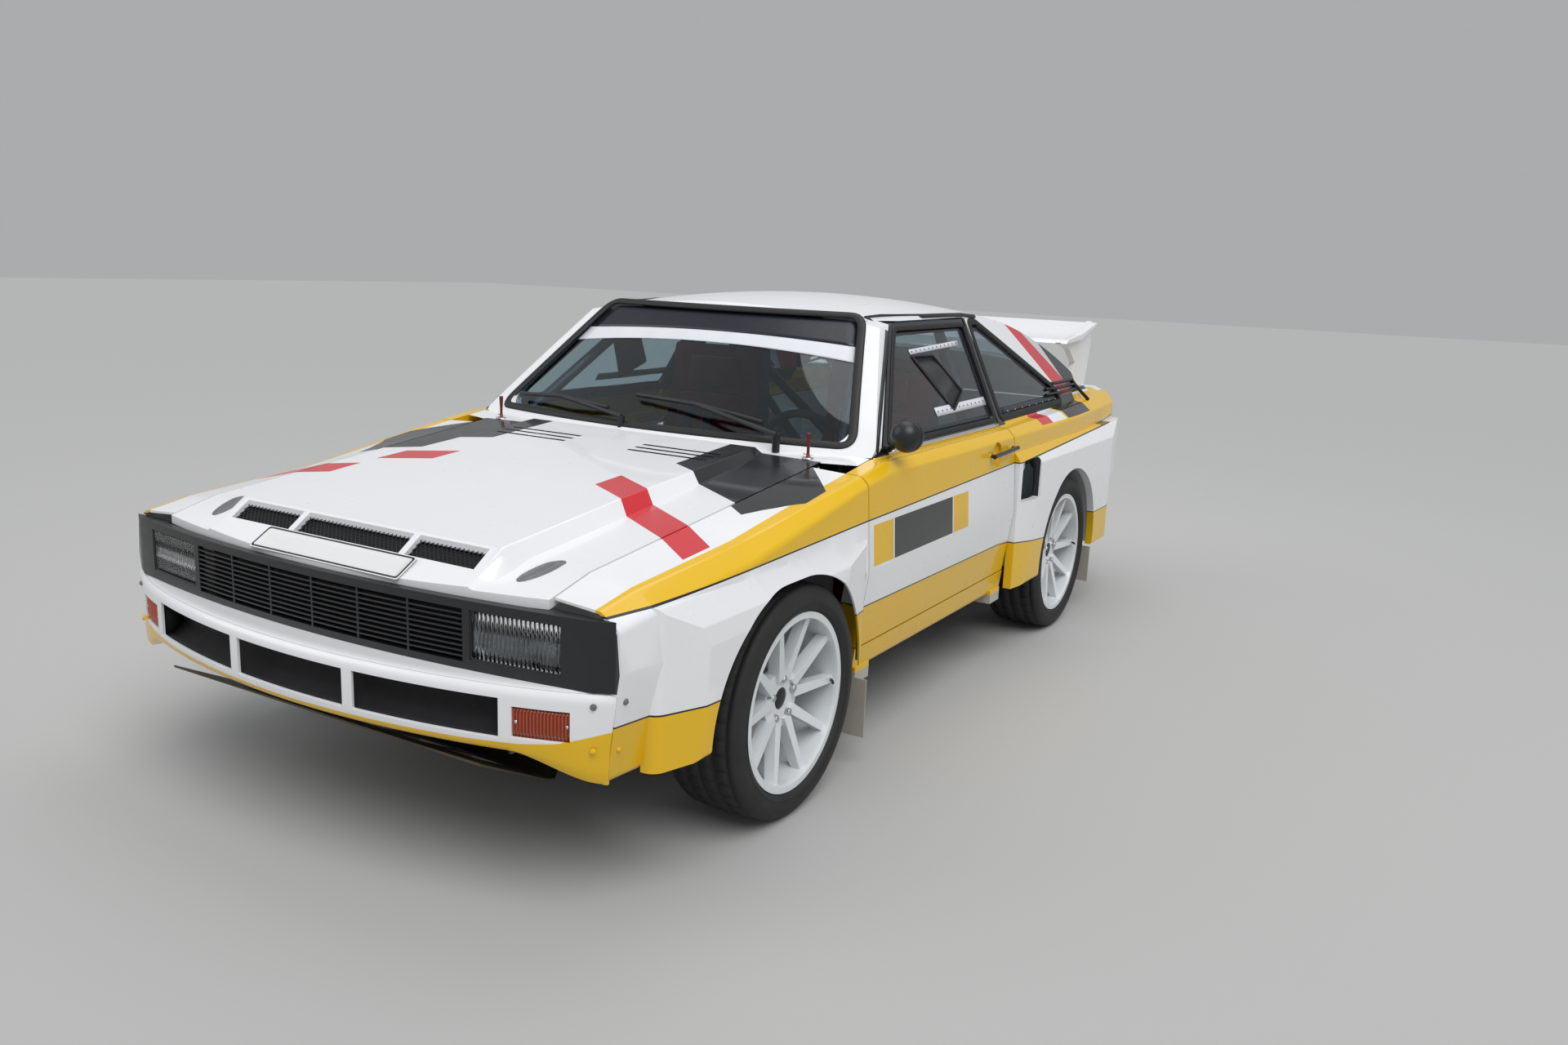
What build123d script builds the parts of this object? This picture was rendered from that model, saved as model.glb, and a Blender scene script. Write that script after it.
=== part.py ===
from build123d import *
import os
from math import cos, sin, tan, radians, degrees, atan2

# A four-wheel-drive rally coupe of the 1980s, built as its real panels, glass, seats, cage,
# suspension, wheels and tyres. Millimetres, +Z up, the nose points along -Y and the driver's
# left is +X. The origin is on the ground below the middle of the length.

# Driving dimensions of the whole car
LENGTH = 4160.0
HEIGHT = 1345.0
WHEELBASE = 2204.0
FRONT_AXLE = 915.0        # front axle behind the foremost point of the bumper
FRONT_TRACK = 1524.0      # between the middles of the front tyres
REAR_TRACK = 1510.0
HUB_HEIGHT = 320.0

# Wheels and tyres
TYRE_RADIUS = 320.0
TYRE_WIDTH = 230.0
RIM_RADIUS = 228.6        # bead seat of an 18 inch rim
RIM_WIDTH = 206.0
RIM_FLANGE = 15.0
RIM_WALL = 7.0
SPOKES = 10
DISC_RADIUS = 142.0
DISC_THICKNESS = 28.0

# Shells, gaps and glass
SKIN = 6.0                # outer panel of a wing
DOOR_THICKNESS = 70.0
WALL = 30.0               # double wall of the roof, the pillars and the rear quarters
LID = 22.0                # bonnet and boot lid with their inner frames
GLASS = 5.0
GLASS_INSET = 10.0        # glass surface below the painted surface
SHUT_GAP = 5.0            # between a moving panel and its neighbour
SEAT_GAP = 0.3            # between curved faces that rest on each other

# Joint geometry
KINGPIN_LOW = (675.0, 190.0)    # x, z of the lower ball joint
KINGPIN_HIGH = (560.0, 800.0)   # x, z of the strut's top mount


def at(d):
    """y of a place that lies d millimetres behind the foremost point."""
    return d - LENGTH / 2


REAR_AXLE = FRONT_AXLE + WHEELBASE


def face_on(plane, points, radius=0.0):
    line = FilletPolyline(*points, radius=radius, close=True) if radius else Polyline(*points, close=True)
    return plane * make_face(line)


def across(points, x0, x1, radius=0.0):
    """Side-view outline of (d, z) points, extruded from x0 to x1."""
    face = face_on(Plane.YZ.offset(x0), [(at(d), z) for d, z in points], radius)
    return extrude(face, x1 - x0, dir=(1, 0, 0))


def along(points, d0, d1, radius=0.0):
    """Front-view outline of (x, z) points, extruded from d0 to d1."""
    face = face_on(Plane.XZ.offset(-at(d0)), points, radius)
    return extrude(face, d1 - d0, dir=(0, 1, 0))


def upward(points, z0, z1, radius=0.0):
    """Plan outline of (x, d) points, extruded from z0 to z1."""
    face = face_on(Plane.XY.offset(z0), [(x, at(d)) for x, d in points], radius)
    return extrude(face, z1 - z0, dir=(0, 0, 1))


def block(x0, x1, d0, d1, z0, z1):
    return Pos((x0 + x1) / 2, at((d0 + d1) / 2), (z0 + z1) / 2) * Box(x1 - x0, d1 - d0, z1 - z0)


def rod(start, end, radius):
    """Round bar between two (x, d, z) points."""
    a = Vector(start[0], at(start[1]), start[2])
    b = Vector(end[0], at(end[1]), end[2])
    plane = Plane(origin=a, z_dir=b - a)
    return extrude(plane * Circle(radius), (b - a).length)


def mirrored(shape):
    return mirror(shape, about=Plane.YZ)


def both(shape):
    return [shape, mirrored(shape)]


os.makedirs("parts", exist_ok=True)
parts = {}


def keep(name, *shapes):
    """Store the solids of a node; several solids in one node don't touch."""
    solids = []
    for shape in shapes:
        solids.extend(shape.solids())
    parts[name] = solids


# Lower body: half sections, as x and z at each corner of the side
LOWER_SECTIONS = (
    # d, x bottom, z bottom, x crease, x shoulder, z shoulder, x edge, z edge, z at bonnet gap, z middle
    (60.0, 800.0, 340.0, 835.0, 828.0, 668.0, 786.0, 698.0, 696.0, 700.0),
    (310.0, 815.0, 335.0, 858.0, 848.0, 705.0, 792.0, 744.0, 763.0, 770.0),
    (700.0, 825.0, 330.0, 862.0, 852.0, 740.0, 798.0, 776.0, 808.0, 818.0),
    (1300.0, 825.0, 285.0, 866.0, 850.0, 845.0, 826.0, 870.0, 878.0, 890.0),
    (1450.0, 825.0, 285.0, 866.0, 849.0, 862.0, 824.0, 892.0, 898.0, 910.0),
    (2500.0, 822.0, 280.0, 862.0, 842.0, 862.0, 815.0, 890.0, 903.0, 912.0),
    (3300.0, 818.0, 285.0, 856.0, 832.0, 868.0, 790.0, 900.0, 920.0, 926.0),
    (4120.0, 760.0, 330.0, 790.0, 768.0, 870.0, 720.0, 912.0, 938.0, 950.0),
)
CREASE_HEIGHT = 592.0
EDGE_RADIUS = 22.0        # of the rounded corners of a section
ROUNDED = (0, 2, 3)       # corners of a half section that are rounded: all but the faint crease
BONNET_GAP = 662.0        # half the width between the shut lines of the bonnet


def corners_at(face, places):
    """Corners of a flat face at the given places or at their mirror images."""
    return [v for v in face.vertices() if any(abs(abs(v.X) - x) + abs(v.Y - y) < 0.01 for x, y in places)]


def lower_body(inset):
    """Body below the belt, its faces moved inward by the inset."""
    faces = []
    for d, xb, zb, xc, xs, zs, xe, ze, zg, zm in LOWER_SECTIONS:
        half = [
            (xb - inset, zb + inset), (xc - inset, CREASE_HEIGHT), (xs - inset, zs - 0.6 * inset),
            (xe - 0.8 * inset, ze - inset), (BONNET_GAP, zg - inset),
        ]
        points = [(0, zb + inset)] + half + [(0, zm - inset)] + [(-x, z) for x, z in reversed(half)]
        section = make_face(Polyline(*points, close=True))
        if inset < EDGE_RADIUS:
            places = [half[i] for i in ROUNDED]
            section = fillet(corners_at(section, places), EDGE_RADIUS - inset / 2)
        faces.append(Plane.XZ.offset(-at(d)) * section)
    return loft(faces, ruled=True)


# Flares: front-view outline and plan outline of the left one
FRONT_FLARE_SECTION = ((800, 330), (893, 330), (897, 600), (890, 648), (850, 712), (800, 712))
FRONT_FLARE_PLAN = ((700, 300), (852, 300), (897, 450), (897, 1085), (864, 1300), (700, 1300))
REAR_FLARE_SECTION = ((800, 290), (888, 290), (893, 600), (888, 752), (846, 806), (800, 806))
REAR_FLARE_PLAN = ((700, 2440), (862, 2440), (893, 2660), (893, 3640), (790, 4115), (700, 4115))
FLARE_EDGE = 14.0         # rounding of a flare's long edges
FLARE_BEND = 40.0         # rounding where it runs in and out, seen from above


def rounded_face(points, inner, radius):
    """Face of an outline; its corners further out than the inner limit are rounded."""
    face = make_face(Polyline(*points, close=True))
    if radius:
        face = fillet([v for v in face.vertices() if v.X > inner + 1], radius)
    return face


def flare(section, plan, inset):
    """One flare; only its outer faces move inward."""
    section_in = min(x for x, z in section)
    plan_in = min(x for x, d in plan)
    d0, d1 = plan[0][1], plan[-1][1]
    outline = [(x if x == section_in else x - inset, z if z < 600 else z - inset) for x, z in section]
    edge, bend = (FLARE_EDGE, FLARE_BEND) if inset < EDGE_RADIUS else (0, 0)
    length = Plane.XZ.offset(-at(d0)) * rounded_face(outline, section_in, edge)
    seen_above = [(x if x == plan_in else x - inset, at(d)) for x, d in plan]
    cut = extrude(rounded_face(seen_above, plan_in, bend), HEIGHT, dir=(0, 0, 1))
    return extrude(length, d1 - d0, dir=(0, 1, 0)) & cut


# Upper body: its side view turned about a low axis along the car gives the crown
CROWN_RADIUS = 3300.0
WINDSCREEN_FOOT = (1330.0, 880.0)
WINDSCREEN_TOP = (1840.0, 1312.0)
ROOF_TOP = (2260.0, HEIGHT)
ROOF_END = (2760.0, 1331.0)
FASTBACK_MIDDLE = (3290.0, 1230.0)
FASTBACK_END = (3950.0, 938.0)
UPPER_SECTIONS = (
    # d, half width at the belt, half width at the roof
    (1200.0, 786.0, 574.0),
    (2500.0, 782.0, 572.0),
    (4100.0, 722.0, 548.0),
)
ROOF_FRONT_SLOPE = 9.0     # of the roof behind the windscreen, in degrees
BELT = 890.0
RAIL = 1296.0
TOP_MARGIN = 1400.0
FOOT_MARGIN = 800.0


def moved(place, inset, slope):
    """A (d, z) place moved inward, square to a surface of the given slope in degrees."""
    return (at(place[0] + inset * sin(radians(slope))), place[1] - inset * cos(radians(slope)))


def upper_profile(inset):
    rake = degrees(atan2(WINDSCREEN_TOP[1] - WINDSCREEN_FOOT[1], WINDSCREEN_TOP[0] - WINDSCREEN_FOOT[0]))
    mitre = 1 / cos(radians((rake - ROOF_FRONT_SLOPE) / 2))
    foot = moved(WINDSCREEN_FOOT, inset, rake)
    header = moved(WINDSCREEN_TOP, inset * mitre, (rake + ROOF_FRONT_SLOPE) / 2)
    roof_end = moved(ROOF_END, inset, -9.0)
    tail = moved(FASTBACK_END, inset, -28.0)
    top = ThreePointArc(header, moved(ROOF_TOP, inset, 0.0), roof_end)
    back = ThreePointArc(roof_end, moved(FASTBACK_MIDDLE, inset, -19.0), tail)
    rest = Polyline(tail, (tail[0], FOOT_MARGIN), (foot[0], FOOT_MARGIN), foot, header)
    return make_face(top + back + rest)


def side_x(belt_x, rail_x, z):
    """Half width of the leaning side at height z."""
    return belt_x + (rail_x - belt_x) * (z - BELT) / (RAIL - BELT)


def upper_body(inset):
    profile = upper_profile(inset)
    axis = Axis((0, 0, HEIGHT - CROWN_RADIUS), (0, 1, 0))
    half_turn = 16.0
    crown = revolve((Plane.YZ * profile).rotate(axis, -half_turn), axis=axis, revolution_arc=2 * half_turn)
    faces = []
    for d, belt_x, rail_x in UPPER_SECTIONS:
        low = side_x(belt_x, rail_x, FOOT_MARGIN) - inset
        high = side_x(belt_x, rail_x, TOP_MARGIN) - inset
        points = [(-low, FOOT_MARGIN), (low, FOOT_MARGIN), (high, TOP_MARGIN), (-high, TOP_MARGIN)]
        faces.append(face_on(Plane.XZ.offset(-at(d)), points))
    return crown & loft(faces, ruled=True)


def body(inset):
    """Whole outside of the car, its faces moved inward by the inset."""
    flares = []
    for section, plan in ((FRONT_FLARE_SECTION, FRONT_FLARE_PLAN), (REAR_FLARE_SECTION, REAR_FLARE_PLAN)):
        flares += both(flare(section, plan, inset))
    whole = lower_body(inset) + upper_body(inset)
    for piece in flares:
        whole += piece
    return whole & upward(nose_and_tail(inset), 0, HEIGHT + 10)


# Ends of the body in plan: the wings and bonnet start behind the grille, the tail is drawn in
PANEL_FRONT = 190.0
TAIL_CORNER = (735.0, 4075.0)
TAIL_MIDDLE = 4105.0
TAIL_DRAWN_IN = 3960.0


def nose_and_tail(inset):
    """Plan outline of (x, d) points; only the tail moves inward."""
    corner_x = TAIL_CORNER[0] - inset
    rear = ((805 - inset / 2, TAIL_DRAWN_IN), (corner_x, TAIL_CORNER[1] - inset), (0, TAIL_MIDDLE - inset))
    right = [(960, PANEL_FRONT), (960, TAIL_DRAWN_IN)] + list(rear)
    left = [(-x, d) for x, d in reversed(right[:-1])]
    return right + left


# Shut lines of the panels
DOOR_FRONT = 1300.0
DOOR_REAR = 2500.0
SILL_TOP = 362.0
BONNET_REAR = 1356.0
LID_FRONT = 3690.0
LID_HALF = 622.0
LID_REAR_BOTTOM = 862.0
PANEL_BOTTOM = 560.0       # rear panel above the bumper

# Wheel arches: the front one is drawn out forwards for the turned wheel
FRONT_ARCH = 345.0
FRONT_ARCH_REACH = 100.0
REAR_ARCH = 355.0


def drum(d, z, radius, x0, x1):
    """Cylinder along X."""
    from_end = (Align.CENTER, Align.CENTER, Align.MIN)
    return Pos(x0, at(d), z) * Rot(0, 90, 0) * Cylinder(radius, x1 - x0, align=from_end)


def arch(d, radius, reach, x0, x1):
    cut = drum(d, HUB_HEIGHT, radius, x0, x1)
    if reach:
        cut += drum(d - reach, HUB_HEIGHT, radius, x0, x1)
        cut += block(x0, x1, d - reach, d, HUB_HEIGHT, HUB_HEIGHT + radius)
    return cut + block(x0, x1, d - reach - radius, d + radius, -10, HUB_HEIGHT)


front_arch = arch(FRONT_AXLE, FRONT_ARCH, FRONT_ARCH_REACH, 560, 1000)
rear_arch = arch(REAR_AXLE, REAR_ARCH, 0, 560, 1000)

outer = body(0)
skin_inner = body(SKIN)
lid_inner = body(LID)
wall_inner = body(WALL)
door_inner = lower_body(DOOR_THICKNESS) + upper_body(WALL)

# Front wings: thin panels from the grille to the door
HALF_GAP = SHUT_GAP / 2
wing_region = block(BONNET_GAP + HALF_GAP, 960, PANEL_FRONT + 1, DOOR_FRONT - HALF_GAP, 331, 960)
wing_region -= block(0, 800, 0, 2000, 0, 600)
wing = ((outer - skin_inner) & wing_region) - front_arch
keep("front_wing_left", wing)
keep("front_wing_right", mirrored(wing))

# Bonnet with its raised middle
BULGE = (
    # d, z below the panel, z on top, half width on top
    (110.0, 696.0, 708.0, 450.0),
    (180.0, 708.0, 744.0, 452.0),
    (254.0, 730.0, 797.0, 455.0),
    (700.0, 795.0, 848.0, 450.0),
    (BONNET_REAR - 8.0, 875.0, 906.0, 440.0),
)
BULGE_FOOT = 48.0
BULGE_WALL = 16.0
BULGE_EDGE = 7.0
BULGE_SLOTS = ((-425.0, -205.0), (-185.0, 185.0), (205.0, 425.0))
LOUVRE = (130.0, 405.0, 9.0)             # inner x, outer x and width of one slot
LOUVRE_PLACES = (1137.0, 1175.0, 1213.0)
LOUVRE_RIB = 12.0


def raised(sections, wall):
    """Raised middle of the bonnet; with a wall it is the hollow below, open downwards."""
    faces = []
    for d, low, top, half in sections:
        foot = half + BULGE_FOOT - wall
        face = make_face(Polyline((-foot, low - 4 * wall), (foot, low - 4 * wall), (half - wall, top - wall),
                                  (wall - half, top - wall), close=True))
        if not wall:
            face = fillet(corners_at(face, [(half, top)]), BULGE_EDGE)
        faces.append(Plane.XZ.offset(-at(d)) * face)
    return loft(faces, ruled=True)


bulge = raised(BULGE, 0)
first, second, *others, last = BULGE
hollow_front = (first[0] + 2 * BULGE_WALL, *first[1:])
hollow_rear = (last[0] - 2 * BULGE_WALL, *last[1:])
bulge_hollow = raised((hollow_front, second, *others, hollow_rear), BULGE_WALL)
bonnet_half = BONNET_GAP - HALF_GAP

# The front edge of the bonnet is curved like the grille below it
BONNET_NOSE = (120.0, 178.0)             # d at the middle and at the corners
BONNET_LIP = 692.0                       # lowest part of the bonnet's front edge


def bonnet_plan(lead, z0):
    """All that is above z0 and inside the bonnet's front and side edges, moved outward by the lead."""
    middle, corner = (at(d - lead) for d in BONNET_NOSE)
    half = bonnet_half + lead
    rear = at(BONNET_REAR - HALF_GAP)
    front = ThreePointArc((-half, corner), (0, middle), (half, corner))
    sides = Polyline((half, corner), (half, rear), (-half, rear), (-half, corner))
    return extrude(Plane.XY.offset(z0) * make_face(front + sides), TOP_MARGIN - z0, dir=(0, 0, 1))


bonnet = (lower_body(0) + bulge - lower_body(LID) - bulge_hollow) & bonnet_plan(0, BONNET_LIP)
for x0, x1 in BULGE_SLOTS:
    bonnet -= block(x0, x1, 193, 245, 600, 900)
inner_x, outer_x, slot_width = LOUVRE
middle_x = (inner_x + outer_x) / 2
for d in LOUVRE_PLACES:
    for x0, x1 in ((inner_x, middle_x - LOUVRE_RIB / 2), (middle_x + LOUVRE_RIB / 2, outer_x)):
        for slot in both(block(x0, x1, d - slot_width / 2, d + slot_width / 2, 800, 960)):
            bonnet -= slot
keep("bonnet", bonnet)

# Upper shell: roof, pillars and the frames of the fixed glass
WINDSCREEN_OPENING = ((-700.0, 922.0), (700.0, 922.0), (516.0, 1292.0), (-516.0, 1292.0))
WINDSCREEN_REAR = 1885.0
REAR_WINDOW_OPENING = ((-500.0, 2905.0), (500.0, 2905.0), (606.0, 3600.0), (-606.0, 3600.0))
# Side-view outlines (d, z) of the door frame and the side windows
DOOR_FRAME = ((1420.0, 880.0), (1525.0, 905.0), (1925.0, 1274.0), (2556.0, 1278.0), (DOOR_REAR, 880.0))
DOOR_WINDOW = ((1602.0, 926.0), (1948.0, 1246.0), (2524.0, 1250.0), (2478.0, 926.0))
QUARTER_WINDOW = ((2566.0, 926.0), (2612.0, 1254.0), (2680.0, 1254.0), (3322.0, 972.0), (3330.0, 926.0))
SIDE_IN = 480.0
SIDE_OUT = 960.0

windscreen_cut = along(WINDSCREEN_OPENING, 1250, WINDSCREEN_REAR, radius=45)
rear_window_cut = upward(REAR_WINDOW_OPENING, 900, HEIGHT, radius=55)
door_window_cut = across(DOOR_WINDOW, SIDE_IN, SIDE_OUT, radius=20)
quarter_window_cut = across(QUARTER_WINDOW, SIDE_IN, SIDE_OUT, radius=18)
DOOR_IN = 742.0            # inner limit of the doors below the belt
PILLAR_FOOT_OUT = 775.0    # the pillar and scuttle lie inside this, the door outside


def narrowed(points, gap):
    """Outline of (d, z) points moved inward by the gap."""
    face = face_on(Plane.YZ, [(at(d), z) for d, z in points])
    return extrude(offset(face, amount=-gap, kind=Kind.INTERSECTION), SIDE_OUT, dir=(1, 0, 0))


DOOR_SLANT = 8.0           # the door's rear edge is cut back inside, so that it swings clear
swung_frame = DOOR_FRAME[:3] + tuple((d - DOOR_SLANT, z) for d, z in DOOR_FRAME[3:])
door_region = narrowed(swung_frame, HALF_GAP) & block(SIDE_IN + SHUT_GAP, SIDE_OUT, 0, LENGTH, 870, 1400)
door_region -= block(SIDE_IN, DOOR_IN, 0, 4000, 860, 905)
door_region += block(DOOR_IN, SIDE_OUT, DOOR_FRONT + HALF_GAP, DOOR_REAR - HALF_GAP, SILL_TOP + HALF_GAP, 905)
door_region -= block(SIDE_IN, PILLAR_FOOT_OUT, 0, 1538, 850, 930)
door_edge = DOOR_REAR - HALF_GAP
door_region -= upward(((SIDE_IN, door_edge - DOOR_SLANT), (DOOR_IN, door_edge - DOOR_SLANT), (875, door_edge),
                       (875, 3000), (SIDE_IN, 3000)), 0, 906)
DOOR_HOLE = (
    (DOOR_FRONT - HALF_GAP, SILL_TOP - HALF_GAP), (DOOR_FRONT - HALF_GAP, 884.0), (1420.0 - HALF_GAP, 884.0),
    (1523.0, 909.0), (1923.0, 1277.0), (2560.0, 1281.0),
    (DOOR_REAR + HALF_GAP, 884.0), (DOOR_REAR + HALF_GAP, SILL_TOP - HALF_GAP),
)
door_hole = across(DOOR_HOLE, SIDE_IN, SIDE_OUT)

upper_shell = upper_body(0) - upper_body(WALL)
SEAM = 1278.0              # the quarter panel meets the roof here
ROOF_REAR = 2905.0
roof_region = block(-900, 900, 1250, DOOR_REAR + HALF_GAP, 921, TOP_MARGIN)
roof_region += block(-900, 900, 2000, ROOF_REAR, SEAM, TOP_MARGIN)
roof = (upper_shell & roof_region) - windscreen_cut - lower_body(0)
for hole in both(door_hole):
    roof -= hole
keep("roof", roof)

glass_shell = upper_body(GLASS_INSET) - upper_body(GLASS_INSET + GLASS)
keep("windscreen", glass_shell & windscreen_cut)
keep("rear_window", glass_shell & rear_window_cut)
quarter_glass = glass_shell & quarter_window_cut
keep("quarter_windows", quarter_glass, mirrored(quarter_glass))

# Scuttle between the bonnet and the windscreen, from wing to wing
SCUTTLE_REAR = 1560.0
SCUTTLE_HALF = PILLAR_FOOT_OUT - SHUT_GAP
scuttle_region = block(-SCUTTLE_HALF, SCUTTLE_HALF, BONNET_REAR + HALF_GAP, SCUTTLE_REAR, 840, 921)
for end in both(block(BONNET_GAP - 30, SCUTTLE_HALF, DOOR_FRONT + HALF_GAP, SCUTTLE_REAR, 884, 921)):
    scuttle_region += end
scuttle_region -= block(-bonnet_half - SHUT_GAP, bonnet_half + SHUT_GAP, 0, BONNET_REAR + HALF_GAP, 0, 1000)
scuttle = (outer - lid_inner) & scuttle_region
for hole in both(door_hole):
    scuttle -= hole
keep("scuttle_panel", scuttle)

# Rear quarters with their flares, arches and the pillars round the side windows
quarter_region = block(LID_HALF + HALF_GAP, 960, DOOR_REAR + HALF_GAP, 4200, 292, 960)
quarter_region += block(430, 960, DOOR_REAR + HALF_GAP, 3640, 880, SEAM)
quarter_region += block(430, 960, ROOF_REAR, 3640, 880, 1400)
quarter_region -= block(0, 801, 0, 5000, 0, 600)
REAR_PANEL_FRONT = 4000.0
LAMP = (470.0, 4000.0, 730.0, 850.0)     # inner x, front d, bottom and top z of a tail lamp
LAMP_OUT = 860.0
lamp_cut = block(LAMP[0], LAMP_OUT, LAMP[1], 4200, LAMP[2], LAMP[3])
quarter = (outer - wall_inner) & quarter_region
quarter = quarter - rear_arch - quarter_window_cut - rear_window_cut - door_hole
quarter -= block(0, 700, REAR_PANEL_FRONT, 4300, 0, 960) + lamp_cut
VENT = ((960.0, 2512.0), (864.0, 2530.0), (836.0, 2690.0), (960.0, 2702.0))   # x, d: a ramp into the flare
VENT_HEIGHTS = (618.0, 772.0)
quarter -= upward(VENT, *VENT_HEIGHTS, radius=6)
quarter -= block(0, 960, 3700, 4300, 0, 560)
keep("quarter_panel_left", quarter)
keep("quarter_panel_right", mirrored(quarter))

deck_half = LID_HALF + HALF_GAP
deck = (outer - wall_inner) & block(-deck_half, deck_half, 3560, LID_FRONT - HALF_GAP, 880, 1100)
deck = deck - rear_window_cut - quarter - mirrored(quarter)

boot_half = LID_HALF - HALF_GAP
boot_region = block(-boot_half, boot_half, LID_FRONT + HALF_GAP, 4300, LID_REAR_BOTTOM, 1100)
keep("boot_lid", (outer - lid_inner) & boot_region)

rear_region = block(-700, 700, REAR_PANEL_FRONT, 4300, PANEL_BOTTOM, LID_REAR_BOTTOM - SHUT_GAP)
rear_region += block(LID_HALF + HALF_GAP, 700, REAR_PANEL_FRONT, 4300, LID_REAR_BOTTOM - SHUT_GAP - 1, 1000)
rear_region += block(-700, -LID_HALF - HALF_GAP, REAR_PANEL_FRONT, 4300, LID_REAR_BOTTOM - SHUT_GAP - 1, 1000)
rear_panel = ((outer - wall_inner) & rear_region) - lamp_cut - mirrored(lamp_cut)
STOP_RADIUS = 12.0
for x in (-420, 420):
    stop_top = LID_REAR_BOTTOM - SEAT_GAP
    rear_panel += Pos(x, at(TAIL_CORNER[1] + 10), stop_top - 10) * Cylinder(STOP_RADIUS, 20)
keep("rear_panels", rear_panel, deck)

lamp = (outer - wall_inner) & block(LAMP[0] + SEAT_GAP, LAMP_OUT, LAMP[1] + SEAT_GAP, 4200,
                                    LAMP[2] + SEAT_GAP, LAMP[3] - SEAT_GAP)
keep("tail_lamps", lamp, mirrored(lamp))

# Doors, each as thick as the whole door, with a window frame and its glass
door = ((lower_body(0) + upper_body(0)) - door_inner) & door_region
door -= door_window_cut
HANDLE = ((868.0, 2238.0, 822.0), (868.0, 2470.0, 830.0))
HANDLE_BAR = 8.0
HANDLE_POCKET = (2325.0, 818.0, 44.0)    # d, z and radius of the dished finger recess
HANDLE_POCKET_DEPTH = 13.0
pocket_x = 846.0 - HANDLE_POCKET_DEPTH
door -= drum(*HANDLE_POCKET, pocket_x, 960)
for x, d, z in HANDLE:
    inward = HANDLE_BAR * 2 if d < HANDLE_POCKET[0] else -HANDLE_BAR * 2
    door += rod((800, d + inward, z), (x, d + inward, z), HANDLE_BAR - 1)
door += rod(*HANDLE, HANDLE_BAR)
keep("door_left", door)
keep("door_right", mirrored(door))
door_glass = glass_shell & door_window_cut
keep("door_window_left", door_glass)
keep("door_window_right", mirrored(door_glass))

# Sills below the doors
SILL_IN = 740.0
sill_region = block(SILL_IN, 960, DOOR_FRONT - HALF_GAP, DOOR_REAR + HALF_GAP, 200, SILL_TOP - HALF_GAP)
sill = lower_body(0) & sill_region
JACK_PADS = ((1312.0, 1402.0), (2398.0, 2488.0))   # d of the blocks under the ends of the sill
JACK_PAD_BOTTOM = 250.0
for d0, d1 in JACK_PADS:
    sill += block(SILL_IN + 8, 832, d0, d1, JACK_PAD_BOTTOM, 300)
keep("sills", sill, mirrored(sill))

# Nose: grille panel with the lamp openings, bumper, indicators and sump guard
GRILLE_BOTTOM = 548.3
GRILLE_TOP = 706.0
HEADLAMP = (482.0, 712.0, 573.0, 686.0)  # x and z of a lamp opening
SLATS = 9
SLAT = 4.0
GRILLE_HALF = 462.0
DIVIDERS = 6


def nose_plan(setback, z0, z1, middle, quarter_d, corner_x, corner_d, rear):
    """Plan area between the curved front and a straight line at the rear."""
    front = ThreePointArc((-corner_x, at(corner_d) + setback), (0, at(middle) + setback),
                          (corner_x, at(corner_d) + setback))
    back = Polyline((corner_x, at(corner_d) + setback), (corner_x + quarter_d - setback, at(rear)),
                    (-corner_x - quarter_d + setback, at(rear)), (-corner_x, at(corner_d) + setback))
    return extrude(Plane.XY.offset(z0) * make_face(front + back), z1 - z0, dir=(0, 0, 1))


GRILLE_PLAN = (92.0, 46.0, 785.0, 168.0, PANEL_FRONT + 1 - SEAT_GAP)
grille_body = nose_plan(0, GRILLE_BOTTOM, GRILLE_TOP, *GRILLE_PLAN)
grille_hollow = nose_plan(16, GRILLE_BOTTOM - 1, GRILLE_TOP - 12, *GRILLE_PLAN[:-1], 400)
NOSE_GAP = SHUT_GAP + 0.5                # between the bonnet's lip and the grille panel
grille_body -= bonnet_plan(NOSE_GAP, BONNET_LIP - NOSE_GAP)
grille = grille_body - (grille_hollow & block(-770, 770, 0, 400, GRILLE_BOTTOM + 12, GRILLE_TOP - 12))
grille_window = block(-GRILLE_HALF, GRILLE_HALF, 0, 400, HEADLAMP[2] - 8, HEADLAMP[3])
lamp_window = block(HEADLAMP[0], HEADLAMP[1], 0, 400, HEADLAMP[2], HEADLAMP[3])
grille = grille - grille_window - lamp_window - mirrored(lamp_window)
slat_ring = nose_plan(1, GRILLE_BOTTOM, GRILLE_TOP, *GRILLE_PLAN)
slat_ring -= nose_plan(15, GRILLE_BOTTOM, GRILLE_TOP, *GRILLE_PLAN[:-1], 400)
pitch = (HEADLAMP[3] - HEADLAMP[2] + 8) / (SLATS + 1)
for i in range(1, SLATS + 1):
    z = HEADLAMP[2] - 8 + i * pitch
    grille += slat_ring & block(-GRILLE_HALF - 2, GRILLE_HALF + 2, 0, 400, z - SLAT / 2, z + SLAT / 2)
for i in range(1, DIVIDERS):
    x = -GRILLE_HALF + 2 * GRILLE_HALF * i / DIVIDERS
    grille += slat_ring & block(x - 3, x + 3, 0, 400, HEADLAMP[2] - 10, HEADLAMP[3] + 2)
keep("grille_panel", grille)

lens_front = nose_plan(3, GRILLE_BOTTOM, GRILLE_TOP, *GRILLE_PLAN)
headlamp = (lens_front & block(HEADLAMP[0] + SEAT_GAP, HEADLAMP[1] - SEAT_GAP, 0, PANEL_FRONT - 3,
                               HEADLAMP[2] + SEAT_GAP, HEADLAMP[3] - SEAT_GAP))
keep("headlamps", headlamp, mirrored(headlamp))

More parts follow.
